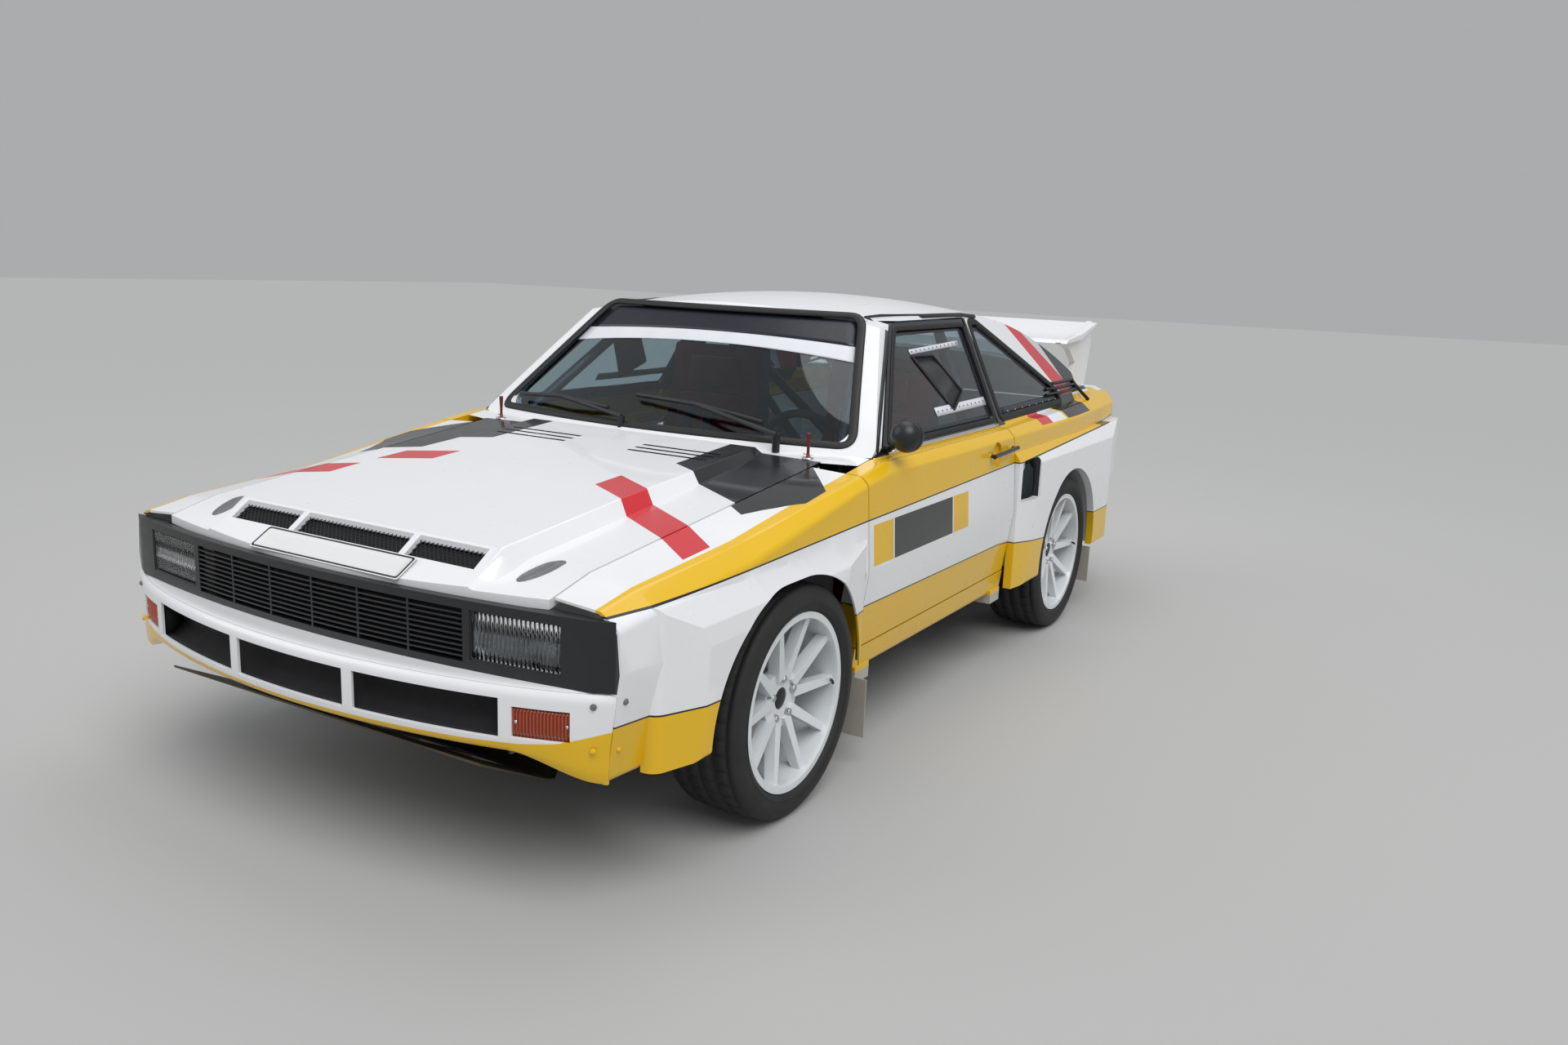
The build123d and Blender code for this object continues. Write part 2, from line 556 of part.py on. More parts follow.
BUMPER_BOTTOM = 352.0
BUMPER_TOP = 548.0
BUMPER_WALL = 14.0
BUMPER_PLAN = (0.0, 62.0, 796.0, 92.0, PANEL_FRONT + 1 - SEAT_GAP)
BUMPER_OPENINGS = ((-592.0, -214.0), (-198.0, 198.0), (214.0, 592.0))
OPENING_HEIGHTS = (412.0, 516.0)
INDICATOR = (618.0, 772.0, 428.0, 504.0)
bumper_body = nose_plan(0, BUMPER_BOTTOM, BUMPER_TOP, *BUMPER_PLAN)
bumper_hollow = nose_plan(BUMPER_WALL, BUMPER_BOTTOM + BUMPER_WALL, BUMPER_TOP - BUMPER_WALL,
                          *BUMPER_PLAN[:-1], 400)
bumper = bumper_body - bumper_hollow - block(-560, 560, 80, 400, 300, BUMPER_BOTTOM + BUMPER_WALL + 1)
for x0, x1 in BUMPER_OPENINGS:
    bumper -= block(x0, x1, -10, 130, *OPENING_HEIGHTS)
indicator_cut = block(INDICATOR[0], INDICATOR[1], -10, 150, INDICATOR[2], INDICATOR[3])
for cut in both(indicator_cut):
    bumper -= cut
keep("front_bumper", bumper)
indicator = nose_plan(5, 300, 600, *BUMPER_PLAN)
indicator -= nose_plan(BUMPER_WALL + 6, 300, 600, *BUMPER_PLAN[:-1], 400)
indicator &= block(INDICATOR[0] + SEAT_GAP, INDICATOR[1] - SEAT_GAP, 0, 160,
                   INDICATOR[2] + SEAT_GAP, INDICATOR[3] - SEAT_GAP)
keep("front_indicators", indicator, mirrored(indicator))

GUARD = ((84.0, 351.0), (420.0, 176.0), (FRONT_AXLE - 180.0 - SEAT_GAP, 164.0))
GUARD_PLATE = 6.0
GUARD_HALF = 545.0
guard_outline = [(d, z) for d, z in GUARD] + [(d, z + GUARD_PLATE) for d, z in reversed(GUARD)]
guard = across(guard_outline, -GUARD_HALF, GUARD_HALF)
guard &= upward(((-GUARD_HALF, 60), (GUARD_HALF, 60), (GUARD_HALF, 300), (410, 500), (410, 900), (-410, 900),
                 (-410, 500), (-GUARD_HALF, 300)), 0, 500)
for i in range(5):
    x = -360 + 180 * i
    guard -= block(x - 55, x + 55, 210, 300, 100, 400)
keep("sump_guard", guard)

# Tail: bumper and the wing on the boot lid
REAR_BUMPER_BOTTOM = 390.0
REAR_BUMPER_FRONT = 3960.0
TAIL_BUMPER_PLAN = ((-792, REAR_BUMPER_FRONT), (792, REAR_BUMPER_FRONT), (742, 4112), (500, 4152),
                    (0, LENGTH), (-500, 4152), (-742, 4112))
rear_bumper = upward(TAIL_BUMPER_PLAN, REAR_BUMPER_BOTTOM, PANEL_BOTTOM - SEAT_GAP, radius=12)
rear_hollow = [(x * 0.978, d if d == REAR_BUMPER_FRONT else d - 16) for x, d in TAIL_BUMPER_PLAN]
rear_hollow = [(x, 3900 if d == REAR_BUMPER_FRONT else d) for x, d in rear_hollow]
rear_bumper -= upward(rear_hollow, REAR_BUMPER_BOTTOM - 1, PANEL_BOTTOM - 16)
keep("rear_bumper", rear_bumper)

WING_HALF = 655.0
BLADE = (
    (3672.0, 1146.0), (3700.0, 1163.0), (3900.0, 1184.0), (4118.0, 1232.0),
    (4120.0, 1224.0), (3900.0, 1158.0),
)
END_PLATE = (
    (3668.0, 1150.0), (3720.0, 1166.0), (3900.0, 1188.0), (4124.0, 1238.0), (4128.0, 1110.0),
    (4100.0, 1000.0), (4060.0, 900.0), (3840.0, 900.0), (3905.0, 1050.0), (3800.0, 1118.0),
)
END_PLATE_THICKNESS = 26.0
blade = across(BLADE, -WING_HALF + 20, WING_HALF - 20)
end_plate = across(END_PLATE, WING_HALF - END_PLATE_THICKNESS - 46, WING_HALF - 46)
rear_wing = blade + end_plate + mirrored(end_plate)
rear_wing -= body(-SEAT_GAP)
keep("rear_wing", rear_wing)

# Floor with its tunnel, firewall, inner wings and rear wheel houses
FLOOR_BOTTOM = 286.0
FLOOR_PLATE = 18.0
FLOOR_TOP = FLOOR_BOTTOM + FLOOR_PLATE
SHELF_BOTTOM = 430.0       # the raised floor over the rear axle
SHELF_TOP = SHELF_BOTTOM + FLOOR_PLATE
FLOOR_HALF = SILL_IN - SEAT_GAP
TUNNEL = ((-150, 286), (-110, 420), (110, 420), (150, 286))
FIREWALL_FRONT = 1312.0    # of the lower half, behind the sweep of the steered tyre
FIREWALL_PLATE = 20.0
FIREWALL_TOP_FRONT = 1272.0
FIREWALL_STEP = 700.0      # height at which it steps forward above the tyre
FLOOR_FRONT = FIREWALL_FRONT + FIREWALL_PLATE + SEAT_GAP
REAR_FLOOR = (
    (FLOOR_FRONT, FLOOR_BOTTOM), (2640.0, FLOOR_BOTTOM), (2800.0, SHELF_BOTTOM), (3975.0, SHELF_BOTTOM),
    (3975.0, SHELF_TOP), (2790.0, SHELF_TOP), (2632.0, FLOOR_TOP), (FLOOR_FRONT, FLOOR_TOP),
)
floor = across(REAR_FLOOR, -FLOOR_HALF, FLOOR_HALF)
tunnel_space = along([(x * 0.88, z - 16) for x, z in TUNNEL], 1200, 2800)
floor = (floor - tunnel_space) + (along(TUNNEL, FLOOR_FRONT, 2700) - tunnel_space)
HOUSE_IN = 590.0
HOUSE_PLATE = 6.0
house_side = HOUSE_IN - HOUSE_PLATE - SEAT_GAP
floor -= block(house_side, 960, REAR_AXLE - 380, REAR_AXLE + 380, 200, 800)
floor -= block(-960, -house_side, REAR_AXLE - 380, REAR_AXLE + 380, 200, 800)
floor += block(-600, 600, 3915, 3975 - SEAT_GAP, 340, SHELF_BOTTOM + 1)
keep("floor_pan", floor)

FIREWALL_TOP = 828.0
low_rear = FIREWALL_FRONT + FIREWALL_PLATE
top_rear = FIREWALL_TOP_FRONT + FIREWALL_PLATE
firewall = block(-736, 736, FIREWALL_FRONT, low_rear, FLOOR_BOTTOM, FIREWALL_STEP + FIREWALL_PLATE)
firewall += block(-736, 736, FIREWALL_TOP_FRONT, low_rear, FIREWALL_STEP, FIREWALL_STEP + FIREWALL_PLATE)
firewall += block(-960, 960, FIREWALL_TOP_FRONT, top_rear, FIREWALL_STEP, FIREWALL_TOP)
firewall &= body(SKIN + SEAT_GAP)
firewall -= block(-165, 165, 0, 2000, 0, 445)
keep("firewall", firewall)

INNER_WING = 470.0
INNER_WING_PLATE = 8.0
TOWER_TOP = 789.0
TOWER = (INNER_WING, 640.0, FRONT_AXLE - 110.0, FRONT_AXLE + 110.0)
inner_wing = block(INNER_WING - INNER_WING_PLATE, INNER_WING, 260, FIREWALL_FRONT - SEAT_GAP, 300, 695)
tower = block(TOWER[0] - INNER_WING_PLATE, TOWER[1], TOWER[2], TOWER[3], 690, TOWER_TOP)
tower -= block(TOWER[0], TOWER[1] + 10, TOWER[2] + 8, TOWER[3] - 8, 600, TOWER_TOP - 10)
inner_wing += tower
inner_wing -= block(INNER_WING - 20, INNER_WING + 1, FRONT_AXLE - 60, FRONT_AXLE + 60, 200, 420)
BEAM = (INNER_WING, 262.0, 322.0, 400.0, 500.0)
inner_wings = inner_wing + mirrored(inner_wing) + block(-BEAM[0], BEAM[0], *BEAM[1:])
keep("inner_wings", inner_wings)

HOUSE_RADIUS = REAR_ARCH + 3.0
house = drum(REAR_AXLE, HUB_HEIGHT, HOUSE_RADIUS + HOUSE_PLATE, HOUSE_IN - HOUSE_PLATE, 870)
house -= drum(REAR_AXLE, HUB_HEIGHT, HOUSE_RADIUS, HOUSE_IN, 900)
house -= block(500, 900, 2000, 4160, 0, 302)
house &= body(WALL + SEAT_GAP)
house -= drum(REAR_AXLE, HUB_HEIGHT, 70, 500, 700) + block(500, 640, REAR_AXLE - 70, REAR_AXLE + 70, 200, 320)
house -= block(500, 640, REAR_AXLE - 260, REAR_AXLE + 260, 200, 330)
house -= block(HOUSE_IN - 20, 655, REAR_AXLE - 100, REAR_AXLE + 100, 400, 760)
rear_tower = block(470, 655, REAR_AXLE - 108, REAR_AXLE + 108, 560, TOWER_TOP)
rear_tower -= block(478, 655, REAR_AXLE - 100, REAR_AXLE + 100, 500, TOWER_TOP - 10)
rear_tower -= drum(REAR_AXLE, HUB_HEIGHT, HOUSE_RADIUS + 1, HOUSE_IN - 1, 900)
house += rear_tower
keep("rear_wheel_houses", house, mirrored(house))

ENGINE = (-190.0, 170.0, 330.0, 860.0, 260.0, 700.0)
keep("engine", block(*ENGINE))

# Cabin: dashboard, steering, seats and the roll cage
DASH = ((1470.0, 700.0), (1500.0, 885.0), (1640.0, 880.0), (1700.0, 830.0), (1690.0, 720.0), (1600.0, 640.0))
dash = across(DASH, -610, 610, radius=14)

WHEEL_X = 350.0
STEERING_WHEEL = (WHEEL_X, 1860.0, 800.0)
COLUMN_SLOPE = 24.0
COLUMN_LENGTH = 170.0
STEERING_RADIUS = 175.0
STEERING_GRIP = 14.0
column_plane = Plane(origin=(WHEEL_X, at(STEERING_WHEEL[1]), STEERING_WHEEL[2]),
                     z_dir=(0, cos(radians(COLUMN_SLOPE)), sin(radians(COLUMN_SLOPE))))
column = column_plane * Pos(0, 0, -COLUMN_LENGTH / 2 - 10 - SEAT_GAP) * Cylinder(26, COLUMN_LENGTH)
for x in (-330, 330):
    dash += block(x - 25, x + 25, top_rear + SEAT_GAP, 1500, 760, 800)
keep("dashboard", dash + column)
steering = column_plane * Torus(STEERING_RADIUS, STEERING_GRIP)
steering += column_plane * Pos(0, 0, -2) * Cylinder(40, 16)
for angle in (90, 210, 330):
    spoke = Pos(STEERING_RADIUS / 2, 0, -2) * Box(STEERING_RADIUS - 10, 34, 5)
    steering += column_plane * Rot(0, 0, angle) * spoke
keep("steering_wheel", steering)

SEAT_X = 365.0
SEAT_WIDTH = 420.0
SEAT_SIDE = (
    (1830.0, FLOOR_TOP + SEAT_GAP), (1820.0, 450.0), (2180.0, 540.0), (2310.0, 860.0), (2350.0, 1120.0),
    (2400.0, 1120.0), (2405.0, 860.0), (2340.0, FLOOR_TOP + SEAT_GAP),
)
SEAT_SPACE = (
    (1730.0, 446.0), (1970.0, 420.0), (2160.0, 405.0), (2270.0, 680.0), (2348.0, 1085.0),
    (2230.0, 1200.0), (1730.0, 1200.0),
)
seat = across(SEAT_SIDE, SEAT_X - SEAT_WIDTH / 2, SEAT_X + SEAT_WIDTH / 2, radius=20)
seat -= across(SEAT_SPACE, SEAT_X - SEAT_WIDTH / 2 + 45, SEAT_X + SEAT_WIDTH / 2 - 45)
keep("driver_seat", seat)
keep("codriver_seat", mirrored(seat))

CAGE_TUBE = 19.0
CAGE_LEFT = (
    # start x, d, z and end x, d, z
    (655.0, 2500.0, FLOOR_TOP + SEAT_GAP, 655.0, 2500.0, 900.0),
    (655.0, 2500.0, 900.0, 500.0, 2510.0, 1240.0),
    (655.0, 1440.0, 306.0, 650.0, 1500.0, 860.0),
    (650.0, 1500.0, 860.0, 480.0, 1950.0, 1230.0),
    (480.0, 1950.0, 1230.0, 500.0, 2510.0, 1240.0),
    (500.0, 2510.0, 1240.0, 420.0, 3300.0, 470.0),
    (655.0, 1452.0, 560.0, 655.0, 2500.0, 420.0),
)
CAGE_ACROSS = (
    (500.0, 2510.0, 1240.0),
    (480.0, 1950.0, 1230.0),
    (655.0, 2500.0, 700.0),
)
cage = None
for x0, d0, z0, x1, d1, z1 in CAGE_LEFT:
    for side in (1, -1):
        tube = rod((side * x0, d0, z0), (side * x1, d1, z1), CAGE_TUBE)
        tube += Pos(side * x1, at(d1), z1) * Sphere(CAGE_TUBE + 2)
        cage = tube if cage is None else cage + tube
for x, d, z in CAGE_ACROSS:
    cage += rod((-x, d, z), (x, d, z), CAGE_TUBE)
cage += rod((655, 2500, 330), (-500, 2510, 1240), CAGE_TUBE)
keep("roll_cage", cage)

# Wheels, tyres and brakes, made at the origin about X with the outside towards +X
HALF_TYRE = TYRE_WIDTH / 2
BEAD = RIM_WIDTH / 2 - 9.0
RIM_EDGE = RIM_WIDTH / 2
RIM_OUT = RIM_RADIUS + RIM_FLANGE
TYRE_SECTION = (
    # x, radius
    (1 - BEAD, RIM_RADIUS + SEAT_GAP), (-BEAD - 1.5, RIM_OUT + 1), (-RIM_EDGE - 3, RIM_OUT + 3),
    (-HALF_TYRE, 272.0), (-HALF_TYRE + 6, 300.0), (-HALF_TYRE + 26, TYRE_RADIUS - 4), (-50.0, TYRE_RADIUS),
    (50.0, TYRE_RADIUS), (HALF_TYRE - 26, TYRE_RADIUS - 4), (HALF_TYRE - 6, 300.0), (HALF_TYRE, 272.0),
    (RIM_EDGE + 3, RIM_OUT + 3), (BEAD + 1.5, RIM_OUT + 1), (BEAD - 1, RIM_RADIUS + SEAT_GAP),
)
RIM_IN = RIM_RADIUS - RIM_WALL
RIM_SECTION = (
    (-RIM_EDGE, RIM_IN + 4), (-RIM_EDGE, RIM_OUT), (-RIM_EDGE + 6, RIM_OUT), (-RIM_EDGE + 8, RIM_RADIUS),
    (RIM_EDGE - 8, RIM_RADIUS), (RIM_EDGE - 6, RIM_OUT), (RIM_EDGE, RIM_OUT), (RIM_EDGE, RIM_IN + 4),
    (RIM_EDGE - 14, RIM_IN), (-RIM_EDGE + 14, RIM_IN),
)
HUB_FACE = 22.0            # the wheel's mounting face, outside the middle of the tyre
HUB_RADIUS = 82.0
SPOKE_PAIR = 13.0          # angle between the pair's two spokes at the hub, half
SPOKE_RIM_ANGLE = 18.0


def spun(section):
    """Ring about X from (x, radius) points."""
    face = make_face(Polyline(*[(x, r) for x, r in section], close=True))
    return revolve(face, axis=Axis.X)


def spoke(angle_hub, angle_rim):
    """One spoke, tapering from the hub to the rim in the outer face of the wheel."""
    start = (HUB_RADIUS - 24, angle_hub)
    end = (RIM_IN + 3, angle_rim)
    places = []
    for radius, angle in (start, end):
        a = radians(angle)
        places.append((radius * cos(a), radius * sin(a)))
    run = Vector(0, places[1][0] - places[0][0], places[1][1] - places[0][1])
    faces = []
    ends = ((places[0], 15.0, HUB_FACE + 4, HUB_FACE + 40), (places[1], 10.0, 58.0, 88.0))
    for (y, z), half, x0, x1 in ends:
        plane = Plane(origin=((x0 + x1) / 2, y, z), x_dir=(1, 0, 0), z_dir=run)
        faces.append(plane * Rectangle(x1 - x0, 2 * half))
    return loft(faces, ruled=True)


def wheel_at_origin():
    rim = spun(RIM_SECTION)
    outward = (Align.CENTER, Align.CENTER, Align.MIN)
    hub = Pos(HUB_FACE, 0, 0) * Rot(0, 90, 0) * Cylinder(HUB_RADIUS, 30, align=outward)
    hub -= Pos(HUB_FACE + 10, 0, 0) * Rot(0, 90, 0) * Cylinder(30, 60, align=outward)
    wheel = rim + hub
    for i in range(SPOKES // 2):
        middle = 90 + 72 * i
        wheel += spoke(middle - SPOKE_PAIR, middle - SPOKE_RIM_ANGLE)
        wheel += spoke(middle + SPOKE_PAIR, middle + SPOKE_RIM_ANGLE)
    return wheel


def disc_at_origin():
    """Brake disc with its bell and the hub, behind the wheel's mounting face."""
    centre = (Align.CENTER, Align.CENTER, Align.MAX)
    disc = Pos(HUB_FACE - 40, 0, 0) * Rot(0, 90, 0) * Cylinder(DISC_RADIUS, DISC_THICKNESS, align=centre)
    disc -= Pos(HUB_FACE - 30, 0, 0) * Rot(0, 90, 0) * Cylinder(66, 60, align=centre)
    bell = Pos(HUB_FACE, 0, 0) * Rot(0, 90, 0) * Cylinder(72, 52, align=centre)
    bell -= Pos(HUB_FACE - 8, 0, 0) * Rot(0, 90, 0) * Cylinder(62, 60, align=centre)
    return disc + bell


wheel_shape = wheel_at_origin()
tyre_shape = spun(TYRE_SECTION)
disc_shape = disc_at_origin()
for end, d, track in (("front", FRONT_AXLE, FRONT_TRACK), ("rear", REAR_AXLE, REAR_TRACK)):
    place = Pos(track / 2, at(d), HUB_HEIGHT)
    for piece, shape in (("wheel", wheel_shape), ("tyre", tyre_shape), ("brake_disc", disc_shape)):
        keep(f"{end}_{piece}_left", place * shape)
        keep(f"{end}_{piece}_right", mirrored(place * shape))

# Knuckles with their struts on the leaning steering axis, and the rear uprights
FRONT_CENTRE = FRONT_TRACK / 2
DISC_INNER = FRONT_CENTRE + HUB_FACE - 40 - DISC_THICKNESS


def on_kingpin(z):
    share = (z - KINGPIN_LOW[1]) / (KINGPIN_HIGH[1] - KINGPIN_LOW[1])
    return KINGPIN_LOW[0] + share * (KINGPIN_HIGH[0] - KINGPIN_LOW[0])


BALL_RADIUS = 28.0
STUB = DISC_THICKNESS + 32 - SEAT_GAP   # as far as the plate of the disc's bell
STRUT_BALL = 22.0
SPRING_SEAT = 676.0


def upright(d, disc_inner):
    """Hub carrier with its strut tube, damper rod, spring and top ball."""
    top = TOWER_TOP - 10 - SEAT_GAP - STRUT_BALL
    carrier = drum(d, HUB_HEIGHT, 56, disc_inner - 60, disc_inner - 6)
    carrier += rod((on_kingpin(201), d, 201), (on_kingpin(SPRING_SEAT), d, SPRING_SEAT), 24)
    carrier += drum(d, HUB_HEIGHT, 20, disc_inner - 10, disc_inner + STUB)
    carrier -= drum(d, HUB_HEIGHT, 42, disc_inner - 100, disc_inner - 18)
    seat = (on_kingpin(SPRING_SEAT), d, SPRING_SEAT)
    seat_top = (on_kingpin(SPRING_SEAT + 8), d, SPRING_SEAT + 8)
    carrier += rod(seat, (on_kingpin(top), d, top), 11) + rod(seat, seat_top, 56)
    carrier += rod(seat_top, (on_kingpin(top - 24), d, top - 24), 46)
    carrier += Pos(on_kingpin(top), at(d), top) * Sphere(STRUT_BALL)
    return carrier


knuckle = upright(FRONT_AXLE, DISC_INNER)
knuckle += rod((on_kingpin(HUB_HEIGHT) - 10, FRONT_AXLE + 20, HUB_HEIGHT - 40),
               (on_kingpin(HUB_HEIGHT) - 20, FRONT_AXLE + 125, HUB_HEIGHT - 40), 13)
keep("front_knuckle_left", knuckle)
keep("front_knuckle_right", mirrored(knuckle))

ARM_Z = KINGPIN_LOW[1] - 18
ARM_INNER = 340.0


def lower_arm(d, shift):
    ball_x = KINGPIN_LOW[0] + shift
    arm = rod((ARM_INNER, d - 150, ARM_Z), (ball_x, d, ARM_Z), 17)
    arm += rod((ARM_INNER, d + 150, ARM_Z), (ball_x, d, ARM_Z), 17)
    arm += Pos(ball_x, at(d), ARM_Z) * Sphere(BALL_RADIUS)
    return arm


def subframe(d):
    frame = block(-ARM_INNER - 10, ARM_INNER + 10, d - 180, d - 120, ARM_Z - 20, ARM_Z + 40)
    frame += block(-ARM_INNER - 10, ARM_INNER + 10, d + 120, d + 180, ARM_Z - 20, ARM_Z + 40)
    frame += block(-ARM_INNER - 10, -ARM_INNER + 50, d - 180, d + 180, ARM_Z - 20, ARM_Z + 40)
    frame += block(ARM_INNER - 50, ARM_INNER + 10, d - 180, d + 180, ARM_Z - 20, ARM_Z + 40)
    return frame


arms = subframe(FRONT_AXLE) + lower_arm(FRONT_AXLE, 0) + mirrored(lower_arm(FRONT_AXLE, 0))
keep("front_subframe_and_arms", arms)
rear_shift = (REAR_TRACK - FRONT_TRACK) / 2
rear_upright = Pos(rear_shift, 0, 0) * upright(REAR_AXLE, DISC_INNER)
rear_arm = lower_arm(REAR_AXLE, rear_shift)
rear_arms = subframe(REAR_AXLE) + rear_arm + mirrored(rear_arm)
for x in (-300, 300):
    for d in (REAR_AXLE - 150, REAR_AXLE + 150):
        rear_arms += rod((x, d, ARM_Z), (x, d, SHELF_BOTTOM - SEAT_GAP), 20)
keep("rear_uprights", rear_upright, mirrored(rear_upright))
keep("rear_subframe_and_arms", rear_arms)

# Driveline and exhaust below the floor
CV_X = on_kingpin(HUB_HEIGHT)
gearbox = block(-110, 110, 860.3, 1230, ARM_Z + 40 + SEAT_GAP, 420) + block(-75, 75, 1229, 1500, 225, 360)
rear_case = Pos(0, at(REAR_AXLE), HUB_HEIGHT) * Box(230, 260, 170)
shafts = [rod((0, 1500.3, 305), (0, REAR_AXLE - 130.3, 305), 34)]
for d, x0 in ((FRONT_AXLE, 110.3), (REAR_AXLE, 115.3)):
    shaft = rod((x0, d, HUB_HEIGHT), (CV_X, d, HUB_HEIGHT), 14)
    shaft += rod((x0, d, HUB_HEIGHT), (x0 + 70, d, HUB_HEIGHT), 40)
    shafts += both(shaft)
keep("driveline", gearbox, rear_case, *shafts)

MUFFLER = 48.0
EXHAUST_Z = FLOOR_BOTTOM - SEAT_GAP - MUFFLER
EXHAUST = ((230.0, 1250.0, EXHAUST_Z), (230.0, 2650.0, EXHAUST_Z))
exhaust = rod(*EXHAUST, 30)
exhaust += rod((230, 1700, EXHAUST_Z), (230, 2200, EXHAUST_Z), MUFFLER)
keep("exhaust", exhaust)

# Mirror on the driver's door only, wipers, mudflaps and towing eyes
MIRROR = (856.0, 1520.0, 966.0)
MIRROR_RADIUS = 48.0
MIRROR_BACK = 18.0                       # from the ball's centre to its flat rear, where the glass sits
MIRROR_FOOT = (762.0, 1562.0, 914.0)     # inside the skin of the door's front corner
MIRROR_FOOT_TOP = (783.0, 1562.0, 914.0)
mirror_ball = Pos(MIRROR[0], at(MIRROR[1]), MIRROR[2]) * Sphere(MIRROR_RADIUS)
mirror_ball -= block(0, 1200, MIRROR[1] + MIRROR_BACK, 1700, 800, 1200)
mirror_ball += rod(MIRROR_FOOT_TOP, (MIRROR[0] - 15, MIRROR[1] + 5, MIRROR[2] - 15), 9)
mirror_ball += rod(MIRROR_FOOT, MIRROR_FOOT_TOP, 13)
mirror_ball -= door
keep("door_mirror_left", mirror_ball)

RAKE = atan2(WINDSCREEN_TOP[1] - WINDSCREEN_FOOT[1], WINDSCREEN_TOP[0] - WINDSCREEN_FOOT[0])
WIPER_LIFT = 7.0


def on_windscreen(x, z, lift):
    """(x, d, z) place the given lift outside the painted surface in line with the glass."""
    d = WINDSCREEN_FOOT[0] + (z + x * x / (2 * CROWN_RADIUS) - WINDSCREEN_FOOT[1]) / tan(RAKE)
    return (x, d - lift * sin(RAKE), z + lift * cos(RAKE))


WIPERS = (
    # pivot x, d and foot z, blade middle x and z, blade end x and z, other end x and z
    (490.0, 1384.0, 893.0, 150.0, 985.0, 400.0, 962.0, -100.0, 1002.0),
    (-93.0, 1378.0, 906.0, -400.0, 962.0, -180.0, 956.0, -620.0, 960.0),
)
wipers = []
for px, pd, foot, mx, mz, ax, az, bx, bz in WIPERS:
    middle = on_windscreen(mx, mz, WIPER_LIFT + 16)
    wiper = rod((px, pd, foot), (px, pd, 948), 12)
    wiper += rod((px, pd, 945), middle, 7)
    blade_points = (on_windscreen(ax, az, WIPER_LIFT), middle, on_windscreen(bx, bz, WIPER_LIFT))
    wiper += rod(blade_points[0], blade_points[1], 7) + rod(blade_points[1], blade_points[2], 7)
    wipers.append(wiper - scuttle - glass_shell - roof)
keep("wipers", *wipers)

FLAP = 5.0
FRONT_FLAP_D = DOOR_FRONT - HALF_GAP - SEAT_GAP - FLAP
front_flap = block(722, 880, FRONT_FLAP_D, FRONT_FLAP_D + FLAP, 100, 278)
front_flap += block(SILL_IN + 5, 798, FRONT_FLAP_D, FRONT_FLAP_D + FLAP, 270, 346)
REAR_FLAP_D = REAR_AXLE + HOUSE_RADIUS + HOUSE_PLATE + SEAT_GAP
rear_flap = block(612, 880, REAR_FLAP_D, REAR_FLAP_D + FLAP, 120, 278)
rear_flap += block(612, 770, REAR_FLAP_D, REAR_FLAP_D + FLAP, 270, 430)
keep("mudflaps", *both(front_flap), *both(rear_flap))

EYE_HOLE = 22.0
EYE_OUTER = 38.0
EYE_SHANK = 10.0
EYE_PLATE = 2 * EYE_SHANK
FRONT_EYE = (-380.0, 150.0, 450.0)
REAR_EYE = (400.0, 4066.0, 357.0)


def eye(x, d, z, shank_end):
    ring = drum(d, z, EYE_OUTER, x - EYE_PLATE / 2, x + EYE_PLATE / 2)
    ring += rod((x, d, z), (x, shank_end, z), EYE_SHANK)
    return ring - drum(d, z, EYE_HOLE, x - 40, x + 40)


keep("towing_eyes", eye(*FRONT_EYE, BEAM[1] - SEAT_GAP), eye(*REAR_EYE, 3975))

for name, solids in parts.items():
    export_step(Compound(children=solids), f"parts/{name}.step")
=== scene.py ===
import bpy
from math import cos, sin, pi, radians, hypot, sqrt, tan, atan2
from mathutils import Matrix, Vector
from mathutils.bvhtree import BVHTree


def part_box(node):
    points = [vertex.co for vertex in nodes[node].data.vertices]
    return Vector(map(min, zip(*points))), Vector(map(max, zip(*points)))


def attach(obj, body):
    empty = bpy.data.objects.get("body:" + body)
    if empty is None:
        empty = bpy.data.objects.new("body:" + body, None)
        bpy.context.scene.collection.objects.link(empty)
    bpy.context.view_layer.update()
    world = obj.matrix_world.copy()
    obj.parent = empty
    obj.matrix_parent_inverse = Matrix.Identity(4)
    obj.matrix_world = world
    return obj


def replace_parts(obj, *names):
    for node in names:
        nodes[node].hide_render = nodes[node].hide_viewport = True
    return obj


# Looks of the rally coupe. Metres; x to the car's left, d behind the foremost point, z up.
HALF_LENGTH = 2.08
HANDS = (("left", 1), ("right", -1))
UPWARD = Vector((0, 0, 1))
REARWARD = Vector((0, 1, 0))

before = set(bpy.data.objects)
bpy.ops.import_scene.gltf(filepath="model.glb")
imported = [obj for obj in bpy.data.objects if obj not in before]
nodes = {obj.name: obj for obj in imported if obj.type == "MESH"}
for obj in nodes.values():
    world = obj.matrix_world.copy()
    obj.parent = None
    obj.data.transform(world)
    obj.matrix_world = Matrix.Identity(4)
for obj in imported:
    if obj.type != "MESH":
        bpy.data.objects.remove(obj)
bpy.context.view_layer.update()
scene = bpy.context.scene


def at(x, d, z):
    return Vector((x, d - HALF_LENGTH, z))


def add_object(name, data):
    made = bpy.data.objects.new(name, data)
    scene.collection.objects.link(made)
    return made


# Camera of the photograph
CAMERA_PLACE = (2.335, -3.803, 1.448)
CAMERA_TURN, CAMERA_DOWN, CAMERA_ROLL = 30.16, 12.05, 2.36
FOCAL_PIXELS = 1481.6
PHOTO_WIDTH_PIXELS = 1920
SENSOR_WIDTH = 36.0


